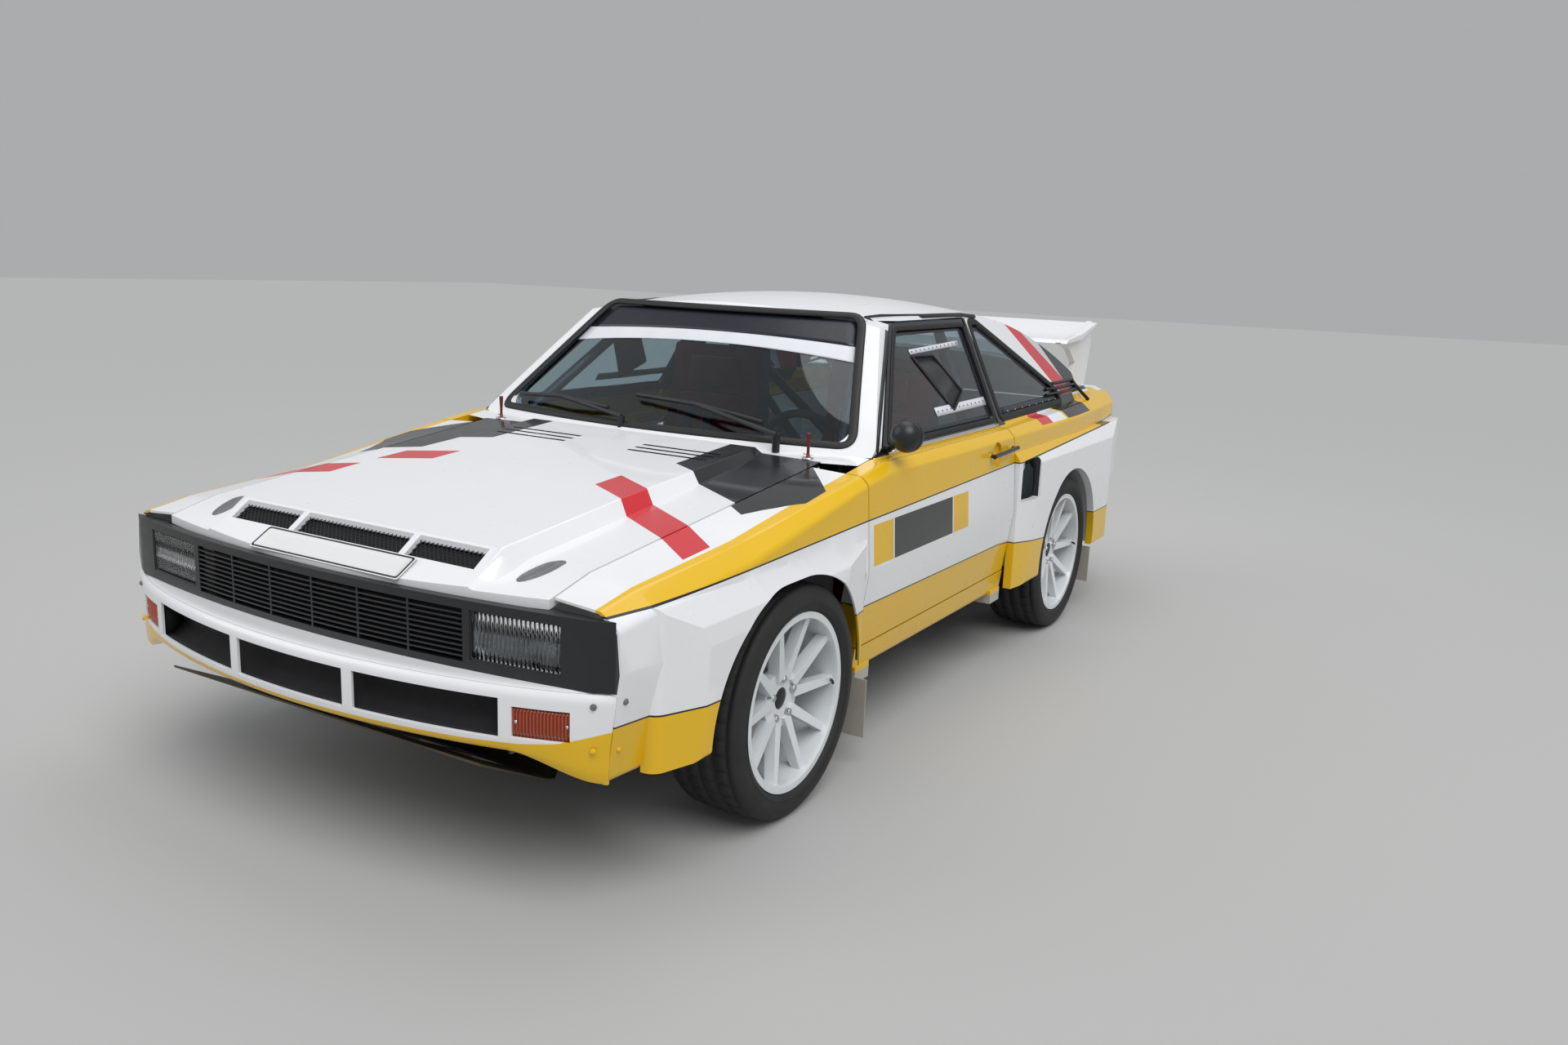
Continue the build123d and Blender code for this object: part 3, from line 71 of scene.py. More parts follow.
def aim_camera():
    turn, down, roll = radians(CAMERA_TURN), radians(CAMERA_DOWN), radians(CAMERA_ROLL)
    back = Vector((sin(turn) * cos(down), -cos(turn) * cos(down), sin(down)))
    right = Vector((cos(turn), sin(turn), 0))
    up = back.cross(right)
    x_axis = cos(roll) * right + sin(roll) * up
    y_axis = cos(roll) * up - sin(roll) * right
    data = bpy.data.cameras.new("camera")
    data.sensor_width = SENSOR_WIDTH
    data.lens = FOCAL_PIXELS / PHOTO_WIDTH_PIXELS * SENSOR_WIDTH
    data.clip_end = 200
    camera = add_object("camera", data)
    turned = Matrix((x_axis, y_axis, back)).transposed().to_4x4()
    camera.matrix_world = Matrix.Translation(CAMERA_PLACE) @ turned
    scene.camera = camera


aim_camera()


# Materials
class Paint:
    """One node material. Values are numbers, colours or sockets of earlier nodes."""

    SOCKETS = {
        "color": "Base Color", "rough": "Roughness", "metal": "Metallic", "clear": "Transmission Weight",
        "ior": "IOR", "coat": "Coat Weight", "coat_rough": "Coat Roughness", "sheen": "Sheen Weight",
        "spec": "Specular IOR Level",
    }

    def __init__(self, name):
        self.material = bpy.data.materials.new(name)
        self.material.use_nodes = True
        self.tree = self.material.node_tree
        self.shader = self.tree.nodes["Principled BSDF"]
        self.coords = None

    def node(self, kind, **settings):
        made = self.tree.nodes.new(kind)
        for key, value in settings.items():
            setattr(made, key, value)
        return made

    def feed(self, socket, value):
        if isinstance(value, bpy.types.NodeSocket):
            self.tree.links.new(value, socket)
        elif isinstance(value, (tuple, list)) and len(value) == 3 and socket.type == "RGBA":
            socket.default_value = (*value, 1.0)
        else:
            socket.default_value = value

    def math(self, operation, *values):
        made = self.node("ShaderNodeMath", operation=operation)
        for socket, value in zip(made.inputs, values):
            self.feed(socket, value)
        return made.outputs[0]

    def split(self, vector):
        made = self.node("ShaderNodeSeparateXYZ")
        self.feed(made.inputs[0], vector)
        return made.outputs

    def place(self):
        """Sockets x, side (x without its sign), d and z of the shaded point, and the point itself."""
        if self.coords is None:
            source = self.node("ShaderNodeTexCoord").outputs["Object"]
            x, y, z = self.split(source)
            self.coords = (x, self.math("ABSOLUTE", x), self.math("ADD", y, HALF_LENGTH), z, source)
        return self.coords

    def rise(self):
        """Upward part of the direction that the piece's own surface faces."""
        return self.split(self.node("ShaderNodeTexCoord").outputs["Normal"])[2]

    def over(self, a, b):
        return self.math("GREATER_THAN", a, b)

    def under(self, a, b):
        return self.math("LESS_THAN", a, b)

    def both(self, *masks):
        result = masks[0]
        for mask in masks[1:]:
            result = self.math("MULTIPLY", result, mask)
        return result

    def either(self, *masks):
        result = masks[0]
        for mask in masks[1:]:
            result = self.math("MAXIMUM", result, mask)
        return result

    def within(self, value, low, high):
        return self.both(self.over(value, low), self.under(value, high))

    def slope(self, value, start, factor, origin=0.0):
        """start + (value - origin) * factor"""
        return self.math("MULTIPLY_ADD", self.math("SUBTRACT", value, origin), factor, start)

    def curve(self, value, points, span=4.2, height=1.4):
        """Broken line through (value, height) points."""
        made = self.node("ShaderNodeFloatCurve")
        line = made.mapping.curves[0]
        for i, (a, b) in enumerate(points):
            place = (a / span, b / height)
            if i < 2:
                line.points[i].location = place
            else:
                line.points.new(*place)
        for point in line.points:
            point.handle_type = "VECTOR"
        made.mapping.update()
        self.feed(made.inputs["Value"], self.math("DIVIDE", value, span))
        return self.math("MULTIPLY", made.outputs[0], height)

    def mix(self, mask, a, b):
        made = self.node("ShaderNodeMix", data_type="RGBA")
        for socket, value in zip((made.inputs[0], made.inputs[6], made.inputs[7]), (mask, a, b)):
            self.feed(socket, value)
        return made.outputs[2]

    def noise(self, scale, detail=3.0, roughness=0.55):
        made = self.node("ShaderNodeTexNoise")
        self.feed(made.inputs["Vector"], self.place()[4])
        made.inputs["Scale"].default_value = scale
        made.inputs["Detail"].default_value = detail
        made.inputs["Roughness"].default_value = roughness
        return made.outputs["Fac"]

    def spread(self, value, low, high, source=(0.0, 1.0)):
        """The value moved from the source range to the low to high range."""
        made = self.node("ShaderNodeMapRange")
        self.feed(made.inputs["Value"], value)
        for socket, number in zip(made.inputs[1:5], (*source, low, high)):
            socket.default_value = number
        return made.outputs[0]

    def bump(self, height, distance):
        made = self.node("ShaderNodeBump")
        made.inputs["Distance"].default_value = distance
        made.inputs["Strength"].default_value = 1.0
        self.feed(made.inputs["Height"], height)
        self.feed(self.shader.inputs["Normal"], made.outputs[0])

    def set(self, **values):
        for key, value in values.items():
            self.feed(self.shader.inputs[self.SOCKETS[key]], value)


# Livery: its lines and blocks lie at these places of the car
WHITE = (0.80, 0.81, 0.82)
YELLOW = (0.78, 0.47, 0.003)
RED = (0.60, 0.02, 0.03)
BLACK = (0.007, 0.008, 0.010)
GREY_WHITE = (0.58, 0.60, 0.61)
DUST = (0.24, 0.20, 0.14)
PALE_RUBBER = (0.42, 0.40, 0.34)

UPPER_LINE = (
    # d, z
    (0.0, 0.706), (0.144, 0.709), (1.284, 0.746), (2.512, 0.769), (3.70, 0.806), (4.2, 0.822),
)
LOWER_LINE = (
    # d, z
    (0.0, 0.480), (0.19, 0.472), (0.515, 0.457), (1.236, 0.492), (2.392, 0.479), (2.807, 0.442), (4.2, 0.442),
)
BUMPER_LINE = (
    # side, z
    (0.0, 0.412), (0.50, 0.415), (0.64, 0.420), (0.72, 0.430), (0.80, 0.455), (0.86, 0.475), (1.4, 0.50),
)
PIN_STRIPE = 0.0022              # half its width
STRIPES_FROM = 0.74              # the pinstripes are only further out than this side
NOSE = (0.016, 0.215, 0.104)     # the bumper's face: d = a + b x^2 + c x^8
SKIN_DEPTH = 0.007               # the bumper is black further behind its face than this
SKIN_SIDE, SKIN_HEIGHTS = 0.79, (0.401, 0.5445)    # within this side and between these z
BAND_SLANT = 0.53                # the bands of the front lean back by this share of the side
RED_BAND = (0.925, 1.037)
WING_YELLOW_FROM = 0.775         # side
WING_RED_TO, WING_RED_ABOVE = 0.765, 0.74    # side, z
WING_BLACK_TO = 0.80             # side
WING_BLACK_FRONT = 1.225         # d of the black band's front edge at the middle
WING_BLACK_REAR, REAR_SLANT = 2.10, 1.2      # the same for its rear edge, and that edge's slant
WING_TOP = (0.752, 0.075)        # the black band's lower limit: z = a + b d
BONNET_RED_FROM, BONNET_BLACK_FROM = 0.302, 0.352    # sides
BONNET_BLACK_FRONT = 1.25        # d of the black band's front edge at the middle
LOUVRES = (1.137, 1.175, 1.213)
HALF_LOUVRE = 0.0068
LOUVRE_SIDES = (0.122, 0.412)
DOOR_BLOCK_HEIGHTS = (0.607, 0.728)
DOOR_BLOCKS = (
    # from d, to d, colour
    (1.332, 1.463, YELLOW), (1.470, 1.914, BLACK), (1.921, 2.050, YELLOW),
)
BELT_BLOCK_HEIGHTS = (0.873, 0.952)
BELT_BLOCKS = (
    # from d, to d, colour
    (2.85, 2.98, RED), (2.98, 3.16, WHITE), (3.185, 3.545, BLACK),
)
PILLAR_BANDS = (
    # d of the front edge at a height, its change per metre of height, that height, colour
    (2.927, -1.37, 1.288, RED), (3.05, -1.65, 1.268, GREY_WHITE), (3.28, -1.1, 1.19, BLACK),
)
PILLAR_FOOT, PILLAR_FROM = 0.945, 0.535      # z, side
WINDOW_FOOT = 0.897              # the window frames are black above this height
FRAME_END = 2.575                # d up to which the quarter panel frames the door's window
HANDLE_FROM, HANDLE_LONG, HANDLE_HEIGHTS = 0.8505, (2.225, 2.485), (0.80, 0.85)    # side, d, z
VENT_TO, VENT_LONG, VENT_HEIGHTS = 0.884, (2.622, 2.70), (0.62, 0.77)              # side, d, z
QUARTER_YELLOW_BELOW = 0.935
SILL_EDGE = 0.2835               # the sill has its rubber edge below this height


def bumper_livery(p, colour):
    """Yellow below its line and black inside the pressed skin."""
    x, side, d, z, _ = p.place()
    colour = p.mix(p.under(z, p.curve(side, BUMPER_LINE, span=1.4)), colour, YELLOW)
    tip, bow, corner = NOSE
    arc = p.math("MULTIPLY_ADD", p.math("MULTIPLY", x, x), bow, tip)
    arc = p.math("MULTIPLY_ADD", p.math("POWER", side, 8.0), corner, arc)
    behind = p.over(p.math("SUBTRACT", d, arc), SKIN_DEPTH)
    return p.mix(p.both(behind, p.under(side, SKIN_SIDE), p.within(z, *SKIN_HEIGHTS)), colour, BLACK)


def flank_livery(p, colour, *limits):
    """Yellow above the upper line, inside the limits, and below the lower line, both edged in black."""
    _, side, d, z, _ = p.place()
    upper, lower = p.curve(d, UPPER_LINE), p.curve(d, LOWER_LINE)
    colour = p.mix(p.either(p.both(p.over(z, upper), *limits), p.under(z, lower)), colour, YELLOW)
    stripes = [p.within(p.math("SUBTRACT", z, line), -PIN_STRIPE, PIN_STRIPE) for line in (upper, lower)]
    return p.mix(p.both(p.either(*stripes), p.over(side, STRIPES_FROM)), colour, BLACK)


def blocks_livery(p, colour, height, blocks):
    """Blocks of colour between places along the car, at the heights of the mask."""
    for d0, d1, shade in blocks:
        colour = p.mix(p.both(height, p.within(p.place()[2], d0, d1)), colour, shade)
    return colour


def wing_livery(p, colour):
    _, side, d, z, _ = p.place()
    colour = flank_livery(p, colour, p.over(side, WING_YELLOW_FROM))
    band, rear = p.slope(side, d, BAND_SLANT), p.slope(side, d, REAR_SLANT)
    red = p.both(p.within(band, *RED_BAND), p.under(side, WING_RED_TO), p.over(z, WING_RED_ABOVE))
    dark = p.both(p.over(band, WING_BLACK_FRONT), p.under(rear, WING_BLACK_REAR),
                  p.under(side, WING_BLACK_TO), p.over(z, p.slope(d, *WING_TOP)))
    return p.mix(dark, p.mix(red, colour, RED), BLACK)


def bonnet_livery(p, colour):
    """Bands on the outside, and the louvres' black slots."""
    _, side, d, _, _ = p.place()
    band, outer = p.slope(side, d, BAND_SLANT), p.over(p.rise(), 0.0)
    red = p.both(p.within(band, *RED_BAND), p.over(side, BONNET_RED_FROM), outer)
    dark = p.both(p.over(band, BONNET_BLACK_FRONT), p.over(side, BONNET_BLACK_FROM), outer)
    colour = p.mix(dark, p.mix(red, colour, RED), BLACK)
    slots = p.either(*(p.within(d, middle - HALF_LOUVRE, middle + HALF_LOUVRE) for middle in LOUVRES))
    return p.mix(p.both(slots, p.within(side, *LOUVRE_SIDES)), colour, BLACK)


def door_livery(p, colour):
    _, side, d, z, _ = p.place()
    colour = blocks_livery(p, flank_livery(p, colour), p.within(z, *DOOR_BLOCK_HEIGHTS), DOOR_BLOCKS)
    colour = p.mix(p.over(z, WINDOW_FOOT), colour, BLACK)
    handle = p.both(p.over(side, HANDLE_FROM), p.within(d, *HANDLE_LONG), p.within(z, *HANDLE_HEIGHTS))
    return p.mix(handle, colour, BLACK)


def pillar_livery(p, colour):
    _, side, d, z, _ = p.place()
    flank = p.both(p.over(z, PILLAR_FOOT), p.over(side, PILLAR_FROM))
    for start, lean, level, shade in PILLAR_BANDS:
        colour = p.mix(p.both(flank, p.over(d, p.slope(z, start, lean, level))), colour, shade)
    return colour


def quarter_livery(p, colour):
    _, side, d, z, _ = p.place()
    colour = flank_livery(p, colour, p.under(z, QUARTER_YELLOW_BELOW))
    colour = blocks_livery(p, colour, p.within(z, *BELT_BLOCK_HEIGHTS), BELT_BLOCKS)
    vent = p.both(p.under(side, VENT_TO), p.within(d, *VENT_LONG), p.within(z, *VENT_HEIGHTS))
    colour = p.mix(vent, colour, BLACK)
    colour = p.mix(p.both(p.under(d, FRAME_END), p.over(z, WINDOW_FOOT)), colour, BLACK)
    return pillar_livery(p, colour)


def sill_livery(p, colour):
    return p.mix(p.under(p.place()[3], SILL_EDGE), flank_livery(p, colour), PALE_RUBBER)


def car_paint(name, livery=None):
    """Glossy white paint under a livery, with a little dust low down."""
    p = Paint(name)
    z = p.place()[3]
    colour = livery(p, WHITE) if livery else WHITE
    dirt = p.spread(z, 0.12, 0.0, (0.25, 0.55))
    colour = p.mix(p.math("MULTIPLY", dirt, p.noise(9.0, 6.0, 0.7)), colour, DUST)
    p.set(color=colour, rough=p.spread(p.noise(14.0), 0.24, 0.34), spec=0.35, coat=0.45, coat_rough=0.05)
    p.bump(p.noise(500.0, 1.0), 0.00001)
    return p.material


def plain(name, colour, rough=0.5, metal=0.0, grain=60.0, depth=0.0003, vary=0.25, **more):
    """Material with mottled colour and roughness and a fine surface grain."""
    p = Paint(name)
    shade = p.spread(p.noise(grain / 6, 4.0), 0.0, 1.0, (0.3, 0.7))
    darker = tuple(c * (1 - vary) for c in colour)
    roughness = p.spread(p.noise(grain), max(rough - 0.08, 0.02), min(rough + 0.08, 1.0))
    p.set(color=p.mix(shade, darker, colour), rough=roughness, metal=metal, **more)
    p.bump(p.noise(grain * 5, 2.0), depth)
    return p.material


def glass(name, colour):
    p = Paint(name)
    p.set(color=colour, rough=0.01, clear=1.0, ior=1.45)
    return p.material


RIB_PITCH = 0.0075               # of the ribs on the front indicators


def rib_lens(name, colour, valley_painted_shade):
    """Coloured lens, with painted shade darkening the valleys between its upright ribs."""
    p = Paint(name)
    wave = p.math("SINE", p.math("MULTIPLY", p.place()[0], 2 * pi / RIB_PITCH))
    # the valley colour is painted shade between the ribs
    shade = p.mix(p.spread(wave, 0.0, 1.0, (-0.6, 0.8)), valley_painted_shade, colour)
    p.set(color=shade, rough=0.12, clear=0.1, ior=1.49, coat=0.3)
    return p.material


def tail_lens():
    """Orange over red, with fine level ribs."""
    p = Paint("tail_lens")
    z = p.place()[3]
    colour = p.mix(p.over(z, 0.797), (0.55, 0.012, 0.01), (0.75, 0.17, 0.01))
    p.set(color=colour, rough=0.08, clear=0.2, ior=1.49)
    p.bump(p.math("SINE", p.math("MULTIPLY", z, 900.0)), 0.0006)
    return p.material


SEAT_MIDDLE = 0.365
SHELL_LINE = (
    # z, d of the face between the cloth and the moulding
    (0.0, 2.28), (0.30, 2.325), (0.86, 2.392), (1.12, 2.392), (1.4, 2.392),
)


def seat_cover():
    """Cloth on the inside of the seat, dark moulding outside."""
    p = Paint("seat_cover")
    _, side, d, z, _ = p.place()
    off = p.math("ABSOLUTE", p.math("SUBTRACT", side, SEAT_MIDDLE))
    behind = p.over(d, p.curve(z, SHELL_LINE, span=1.4, height=4.2))
    moulding = p.either(p.over(off, 0.2085), behind)
    mottle = p.spread(p.noise(14.0), 0.0, 1.0, (0.3, 0.7))
    cloth = p.mix(mottle, (0.20, 0.008, 0.012), (0.32, 0.014, 0.018))
    p.set(color=p.mix(moulding, cloth, (0.016, 0.016, 0.018)), rough=p.spread(moulding, 0.85, 0.35))
    p.bump(p.noise(700.0, 1.0), 0.0005)
    return p.material


M = {
    "white": car_paint("white_paint"),
    "wing": car_paint("wing_paint", wing_livery),
    "bonnet": car_paint("bonnet_paint", bonnet_livery),
    "door": car_paint("door_paint", door_livery),
    "quarter": car_paint("quarter_paint", quarter_livery),
    "roof": car_paint("roof_paint", pillar_livery),
    "sill": car_paint("sill_paint", sill_livery),
    "bumper": car_paint("bumper_paint", bumper_livery),
    "trim": plain("black_trim", (0.014, 0.015, 0.017), 0.38, grain=90, depth=0.0001),
    "rubber": plain("seal_rubber", (0.010, 0.010, 0.011), 0.55, grain=120, depth=0.0001),
    "tyre": plain("tyre_rubber", (0.020, 0.020, 0.021), 0.72, grain=70, depth=0.0004, vary=0.35),
    "wheel": plain("wheel_white", (0.74, 0.77, 0.78), 0.30, grain=40, depth=0.0001, vary=0.10, coat=0.5),
    "steel": plain("bright_steel", (0.62, 0.62, 0.63), 0.30, 1.0, grain=120, depth=0.0001),
    "chrome": plain("chrome", (0.80, 0.81, 0.83), 0.10, 1.0, grain=60, depth=0.00002, vary=0.05),
    "bowl": plain("lamp_bowl", (0.20, 0.22, 0.24), 0.22, 1.0, grain=30, depth=0.0006, vary=0.5),
    "disc": plain("brake_disc", (0.40, 0.39, 0.38), 0.36, 1.0, grain=160, depth=0.0002),
    "dark_steel": plain("dark_steel", (0.045, 0.047, 0.05), 0.45, 0.7, grain=80),
    "cast": plain("cast_metal", (0.30, 0.31, 0.32), 0.55, 0.9, grain=60, depth=0.0008),
    "under": plain("underbody", (0.10, 0.10, 0.10), 0.65, grain=40, depth=0.0006),
    "inside": plain("cabin_paint", (0.42, 0.44, 0.46), 0.45, grain=50),
    "cage": plain("cage_paint", (0.055, 0.07, 0.10), 0.35, grain=50),
    "guard": plain("sump_plate", (0.105, 0.085, 0.05), 0.55, 0.3, grain=30, depth=0.0008, vary=0.45),
    "flap": plain("flap_rubber", PALE_RUBBER, 0.60, grain=40, depth=0.0004),
    "hook": plain("hook_red", (0.55, 0.03, 0.02), 0.4, grain=40),
    "pin": plain("pin_red", (0.22, 0.045, 0.035), 0.35, 0.6, grain=90, depth=0.0001),
    "grey": plain("latch_grey", (0.20, 0.205, 0.21), 0.40, 0.3, grain=90, depth=0.0001),
    "plate": plain("blank_plate", (0.74, 0.75, 0.74), 0.28, grain=12, depth=0.000005, vary=0.02),
    "dash": plain("dash_flock", (0.016, 0.016, 0.018), 0.85, grain=200, depth=0.0004),
    "seat": plain("seat_cloth", (0.30, 0.012, 0.016), 0.85, grain=160, depth=0.0006, sheen=0.4),
    "shell": seat_cover(),
    "belt": plain("belt_webbing", (0.03, 0.045, 0.10), 0.8, grain=300, depth=0.0003, sheen=0.3),
    "window": glass("window_glass", (0.52, 0.66, 0.72)),
    "side_window": glass("side_glass", (0.62, 0.70, 0.72)),
    "lens": glass("lens_glass", (0.93, 0.95, 0.95)),
    # amber lens; its second colour is painted shade for the valleys between the ribs
    "amber": rib_lens("amber_lens", (0.50, 0.060, 0.004), (0.16, 0.014, 0.003)),
    "red_lens": tail_lens(),
    "band": plain("sun_band", (0.010, 0.013, 0.022), 0.30, grain=60, depth=0.00002),
    # near-black sheet for the open slider: painted shade of the cabin seen through the opening
    "slider_shade": plain("open_slider_painted_shade", (0.006, 0.007, 0.009), 0.25, grain=60, depth=0.00002),
    "strip": plain("sun_strip", (0.70, 0.72, 0.76), 0.35, grain=60, depth=0.00002, vary=0.05),
}

NODES_BY_LOOK = {
    "wing": ("front_wing_left", "front_wing_right"),
    "bonnet": ("bonnet",),
    "door": ("door_left", "door_right"),
    "quarter": ("quarter_panel_left", "quarter_panel_right"),
    "roof": ("roof",),
    "sill": ("sills", "rear_bumper"),
    "bumper": ("front_bumper",),
    "white": ("rear_panels", "boot_lid", "rear_wing", "scuttle_panel"),
    "window": ("windscreen", "rear_window"),
    "side_window": ("quarter_windows", "door_window_left", "door_window_right"),
    "lens": ("headlamps",),
    "red_lens": ("tail_lamps",),
    "amber": ("front_indicators",),
    "guard": ("sump_guard",),
    "under": ("floor_pan",),
    "inside": ("firewall", "inner_wings", "rear_wheel_houses"),
    "cast": ("engine", "driveline"),
    "dash": ("dashboard", "steering_wheel"),
    "shell": ("driver_seat", "codriver_seat"),
    "cage": ("roll_cage",),
    "dark_steel": ("front_subframe_and_arms", "rear_subframe_and_arms", "rear_uprights",
                   "front_knuckle_left", "front_knuckle_right"),
    "steel": ("exhaust",),
    "flap": ("mudflaps",),
    "hook": ("towing_eyes",),
}
NODE_LOOK = {node: look for look, group in NODES_BY_LOOK.items() for node in group}
for end in ("front", "rear"):
    for hand, _ in HANDS:
        NODE_LOOK[f"{end}_wheel_{hand}"] = "wheel"
        NODE_LOOK[f"{end}_tyre_{hand}"] = "tyre"
        NODE_LOOK[f"{end}_brake_disc_{hand}"] = "disc"

# Widths of the rounded edges of the CAD pieces; the other pieces have the fine one
FINE_EDGE = 0.0008
SOFT_EDGES = {
    "front_bumper": 0.006, "rear_bumper": 0.006, "grille_panel": 0.0012, "rear_wing": 0.004, "bonnet": 0.0025,
    "boot_lid": 0.003, "roof": 0.003, "door_left": 0.002, "door_right": 0.002, "front_wing_left": 0.0015,
    "front_wing_right": 0.0015, "quarter_panel_left": 0.0025, "quarter_panel_right": 0.0025, "sills": 0.003,
    "dashboard": 0.006, "driver_seat": 0.008, "codriver_seat": 0.008, "scuttle_panel": 0.002, "engine": 0.01,
    "rear_panels": 0.002, "sump_guard": 0.001, "driveline": 0.004,
}


def round_edges(piece, width, angle, harden=True):
    bevel = piece.modifiers.new("bevel", "BEVEL")
    bevel.width = width
    bevel.segments = 2
    bevel.limit_method = "ANGLE"
    bevel.angle_limit = radians(angle)
    bevel.harden_normals = harden


def soften(piece, width):
    """Rounded edges that catch the light, made by modifiers only."""
    piece.data.shade_smooth()
    weld = piece.modifiers.new("weld", "WELD")
    weld.merge_threshold = 0.00002
    round_edges(piece, width, 32)
    normals = piece.modifiers.new("normals", "WEIGHTED_NORMAL")
    normals.keep_sharp = True
    normals.weight = 80


for name, piece in nodes.items():
    piece.data.materials.clear()
    piece.data.materials.append(M[NODE_LOOK.get(name, "trim")])
    soften(piece, SOFT_EDGES.get(name, FINE_EDGE))


def steady(direction):
    """A direction well apart from the given one: upward, or along x where that one is steep."""
    return UPWARD if abs(direction.z) < 0.9 else Vector((1, 0, 0))


# Meshes from given points
BOX_FACES = ((0, 1, 3, 2), (4, 6, 7, 5), (0, 4, 5, 1), (2, 3, 7, 6), (0, 2, 6, 4), (1, 5, 7, 3))


class Shape:
    """Collects simple forms into one mesh."""

    def __init__(self):
        self.points = []
        self.faces = []

    def corners(self, points):
        """Box through eight corners, ordered as three nested loops give them."""
        base = len(self.points)
        self.points.extend(points)
        self.faces.extend(tuple(base + i for i in face) for face in BOX_FACES)
        return self

    def box(self, x0, x1, d0, d1, z0, z1):
        return self.corners([at(x, d, z) for x in (x0, x1) for d in (d0, d1) for z in (z0, z1)])

    def bar(self, start, end, width, up):
        """Square bar between two points."""
        along = (end - start).normalized()
        across = along.cross(up).normalized() * width / 2
        rise = across.cross(along).normalized() * width / 2
        ends, signs = (start, end), (-1, 1)
        return self.corners([p + a * across + b * rise for p in ends for a in signs for b in signs])

    def sheet(self, rows, round_rows=False, round_columns=False, is_hole=None):
        """Surface through rows of points, closed on itself in either direction where asked."""
        base, wide, count = len(self.points), len(rows[0]), len(rows)
        for row in rows:
            self.points.extend(Vector(p) for p in row)
        for i in range(count if round_rows else count - 1):
            for j in range(wide if round_columns else wide - 1):
                if is_hole and is_hole(i, j):
                    continue
                here, there, k = base + i * wide, base + (i + 1) % count * wide, (j + 1) % wide
                self.faces.append((here + j, here + k, there + k, there + j))
        return self

    def rings(self, rings, closed=False, cap=False):
        """Skin over closed rings of points, with flat ends if it has caps."""
        first, sides = len(self.points), len(rings[0])
        self.sheet(rings, closed, True)
        if cap:
            last = len(self.points) - sides
            self.faces.append(tuple(first + k for k in reversed(range(sides))))
            self.faces.append(tuple(last + k for k in range(sides)))
        return self

    def tube(self, points, radius, sides=10, closed=False, flat=1.0, normal=None):
        """Round or flattened tube along points; with a normal the flat side faces it."""
        count = len(points)
        rings = []
        for i, p in enumerate(points):
            before = points[i - 1] if i or closed else p
            after = points[(i + 1) % count] if i < count - 1 or closed else p
            run = (after - before).normalized()
            out = normal[i] if normal else steady(run)
            side = run.cross(out).normalized()
            out = side.cross(run).normalized()
            turns = [2 * pi * k / sides for k in range(sides)]
            rings.append([p + radius * (cos(turn) * side + flat * sin(turn) * out) for turn in turns])
        return self.rings(rings, closed, cap=not closed)

    def lathe(self, section, centre, axis=Vector((1, 0, 0)), sides=48, closed=True):
        """Ring of (along, radius) points turned about an axis."""
        axis = axis.normalized()
        across = axis.cross(steady(axis)).normalized()
        rise = axis.cross(across)
        rings = []
        for k in range(sides):
            turn = 2 * pi * k / sides
            out = cos(turn) * across + sin(turn) * rise
            rings.append([centre + a * axis + r * out for a, r in section])
        return self.sheet(rings, True, closed)

    def mesh(self, name):
        made = bpy.data.meshes.new(name)
        made.from_pydata([tuple(p) for p in self.points], [], self.faces)
        made.validate()
        return made

    def done(self, name, look, body="body", smooth=True, bevel=0.0, thick=0.0, slot=None, subdivide=0):
        mesh = self.mesh(name)
        mesh.materials.append(M[look])
        piece = add_object(name, mesh)
        if smooth:
            mesh.shade_smooth()
        if thick:
            solid = piece.modifiers.new("thickness", "SOLIDIFY")
            solid.thickness = thick
            solid.offset = 0
        if subdivide:
            finer = piece.modifiers.new("finer", "SUBSURF")
            finer.levels = finer.render_levels = subdivide
        if bevel:
            round_edges(piece, bevel, 35, smooth)
        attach(piece, body)
        return piece


def facing(section, out):
    """Turned section of (along, radius) points, pointing along x or against it."""
    return [(out * along, radius) for along, radius in section]


def grid(rows, columns, place):
    """Rows of points; place gets the shares, from 0 to 1, of the row and of the column."""
    return [[place(i / rows, j / columns) for j in range(columns + 1)] for i in range(rows + 1)]


def tree_of(*names):
    """Search tree of the CAD surfaces of some nodes."""
    points, faces = [], []
    for name in names:
        mesh = nodes[name].data
        base = len(points)
        points.extend(v.co.copy() for v in mesh.vertices)
        faces.extend(tuple(base + i for i in face.vertices) for face in mesh.polygons)
    return BVHTree.FromPolygons(points, faces)


SHELL = tree_of("roof", "quarter_panel_left", "quarter_panel_right", "door_left", "door_right",
                "scuttle_panel", "rear_panels", "quarter_windows", "windscreen", "rear_window",
                "door_window_left", "door_window_right", "front_wing_left", "front_wing_right",
                "boot_lid", "sills", "front_bumper")
BONNET = tree_of("bonnet")
WINGS = tree_of("front_wing_left", "front_wing_right")
PANES = tree_of("quarter_windows", "door_window_left", "door_window_right")


def look_in(d, z, side=1, tree=SHELL):
    """Point and outward normal on the flank, seen from the car's side."""
    hit, normal, _, _ = tree.ray_cast(at(side * 1.2, d, z), Vector((-side, 0, 0)))
    if hit is None:
        hit, normal, _, _ = tree.find_nearest(at(side * 0.8, d, z))
    return hit, normal if normal.x * side > 0 else -normal


def look_down(x, d, tree=SHELL):
    """Point and upward normal, seen from above."""
    hit, normal, _, _ = tree.ray_cast(at(x, d, 2.0), -UPWARD)
    return hit, normal


def look_forward(x, z):
    """Point seen from behind."""
    return SHELL.ray_cast(at(x, 5.0, z), -REARWARD)[0]


def middle_of(name):
    low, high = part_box(name)
    return (low + high) / 2


def rectangle(x0, x1, z0, z1):
    return [(x0, z0), (x1, z0), (x1, z1), (x0, z1)]


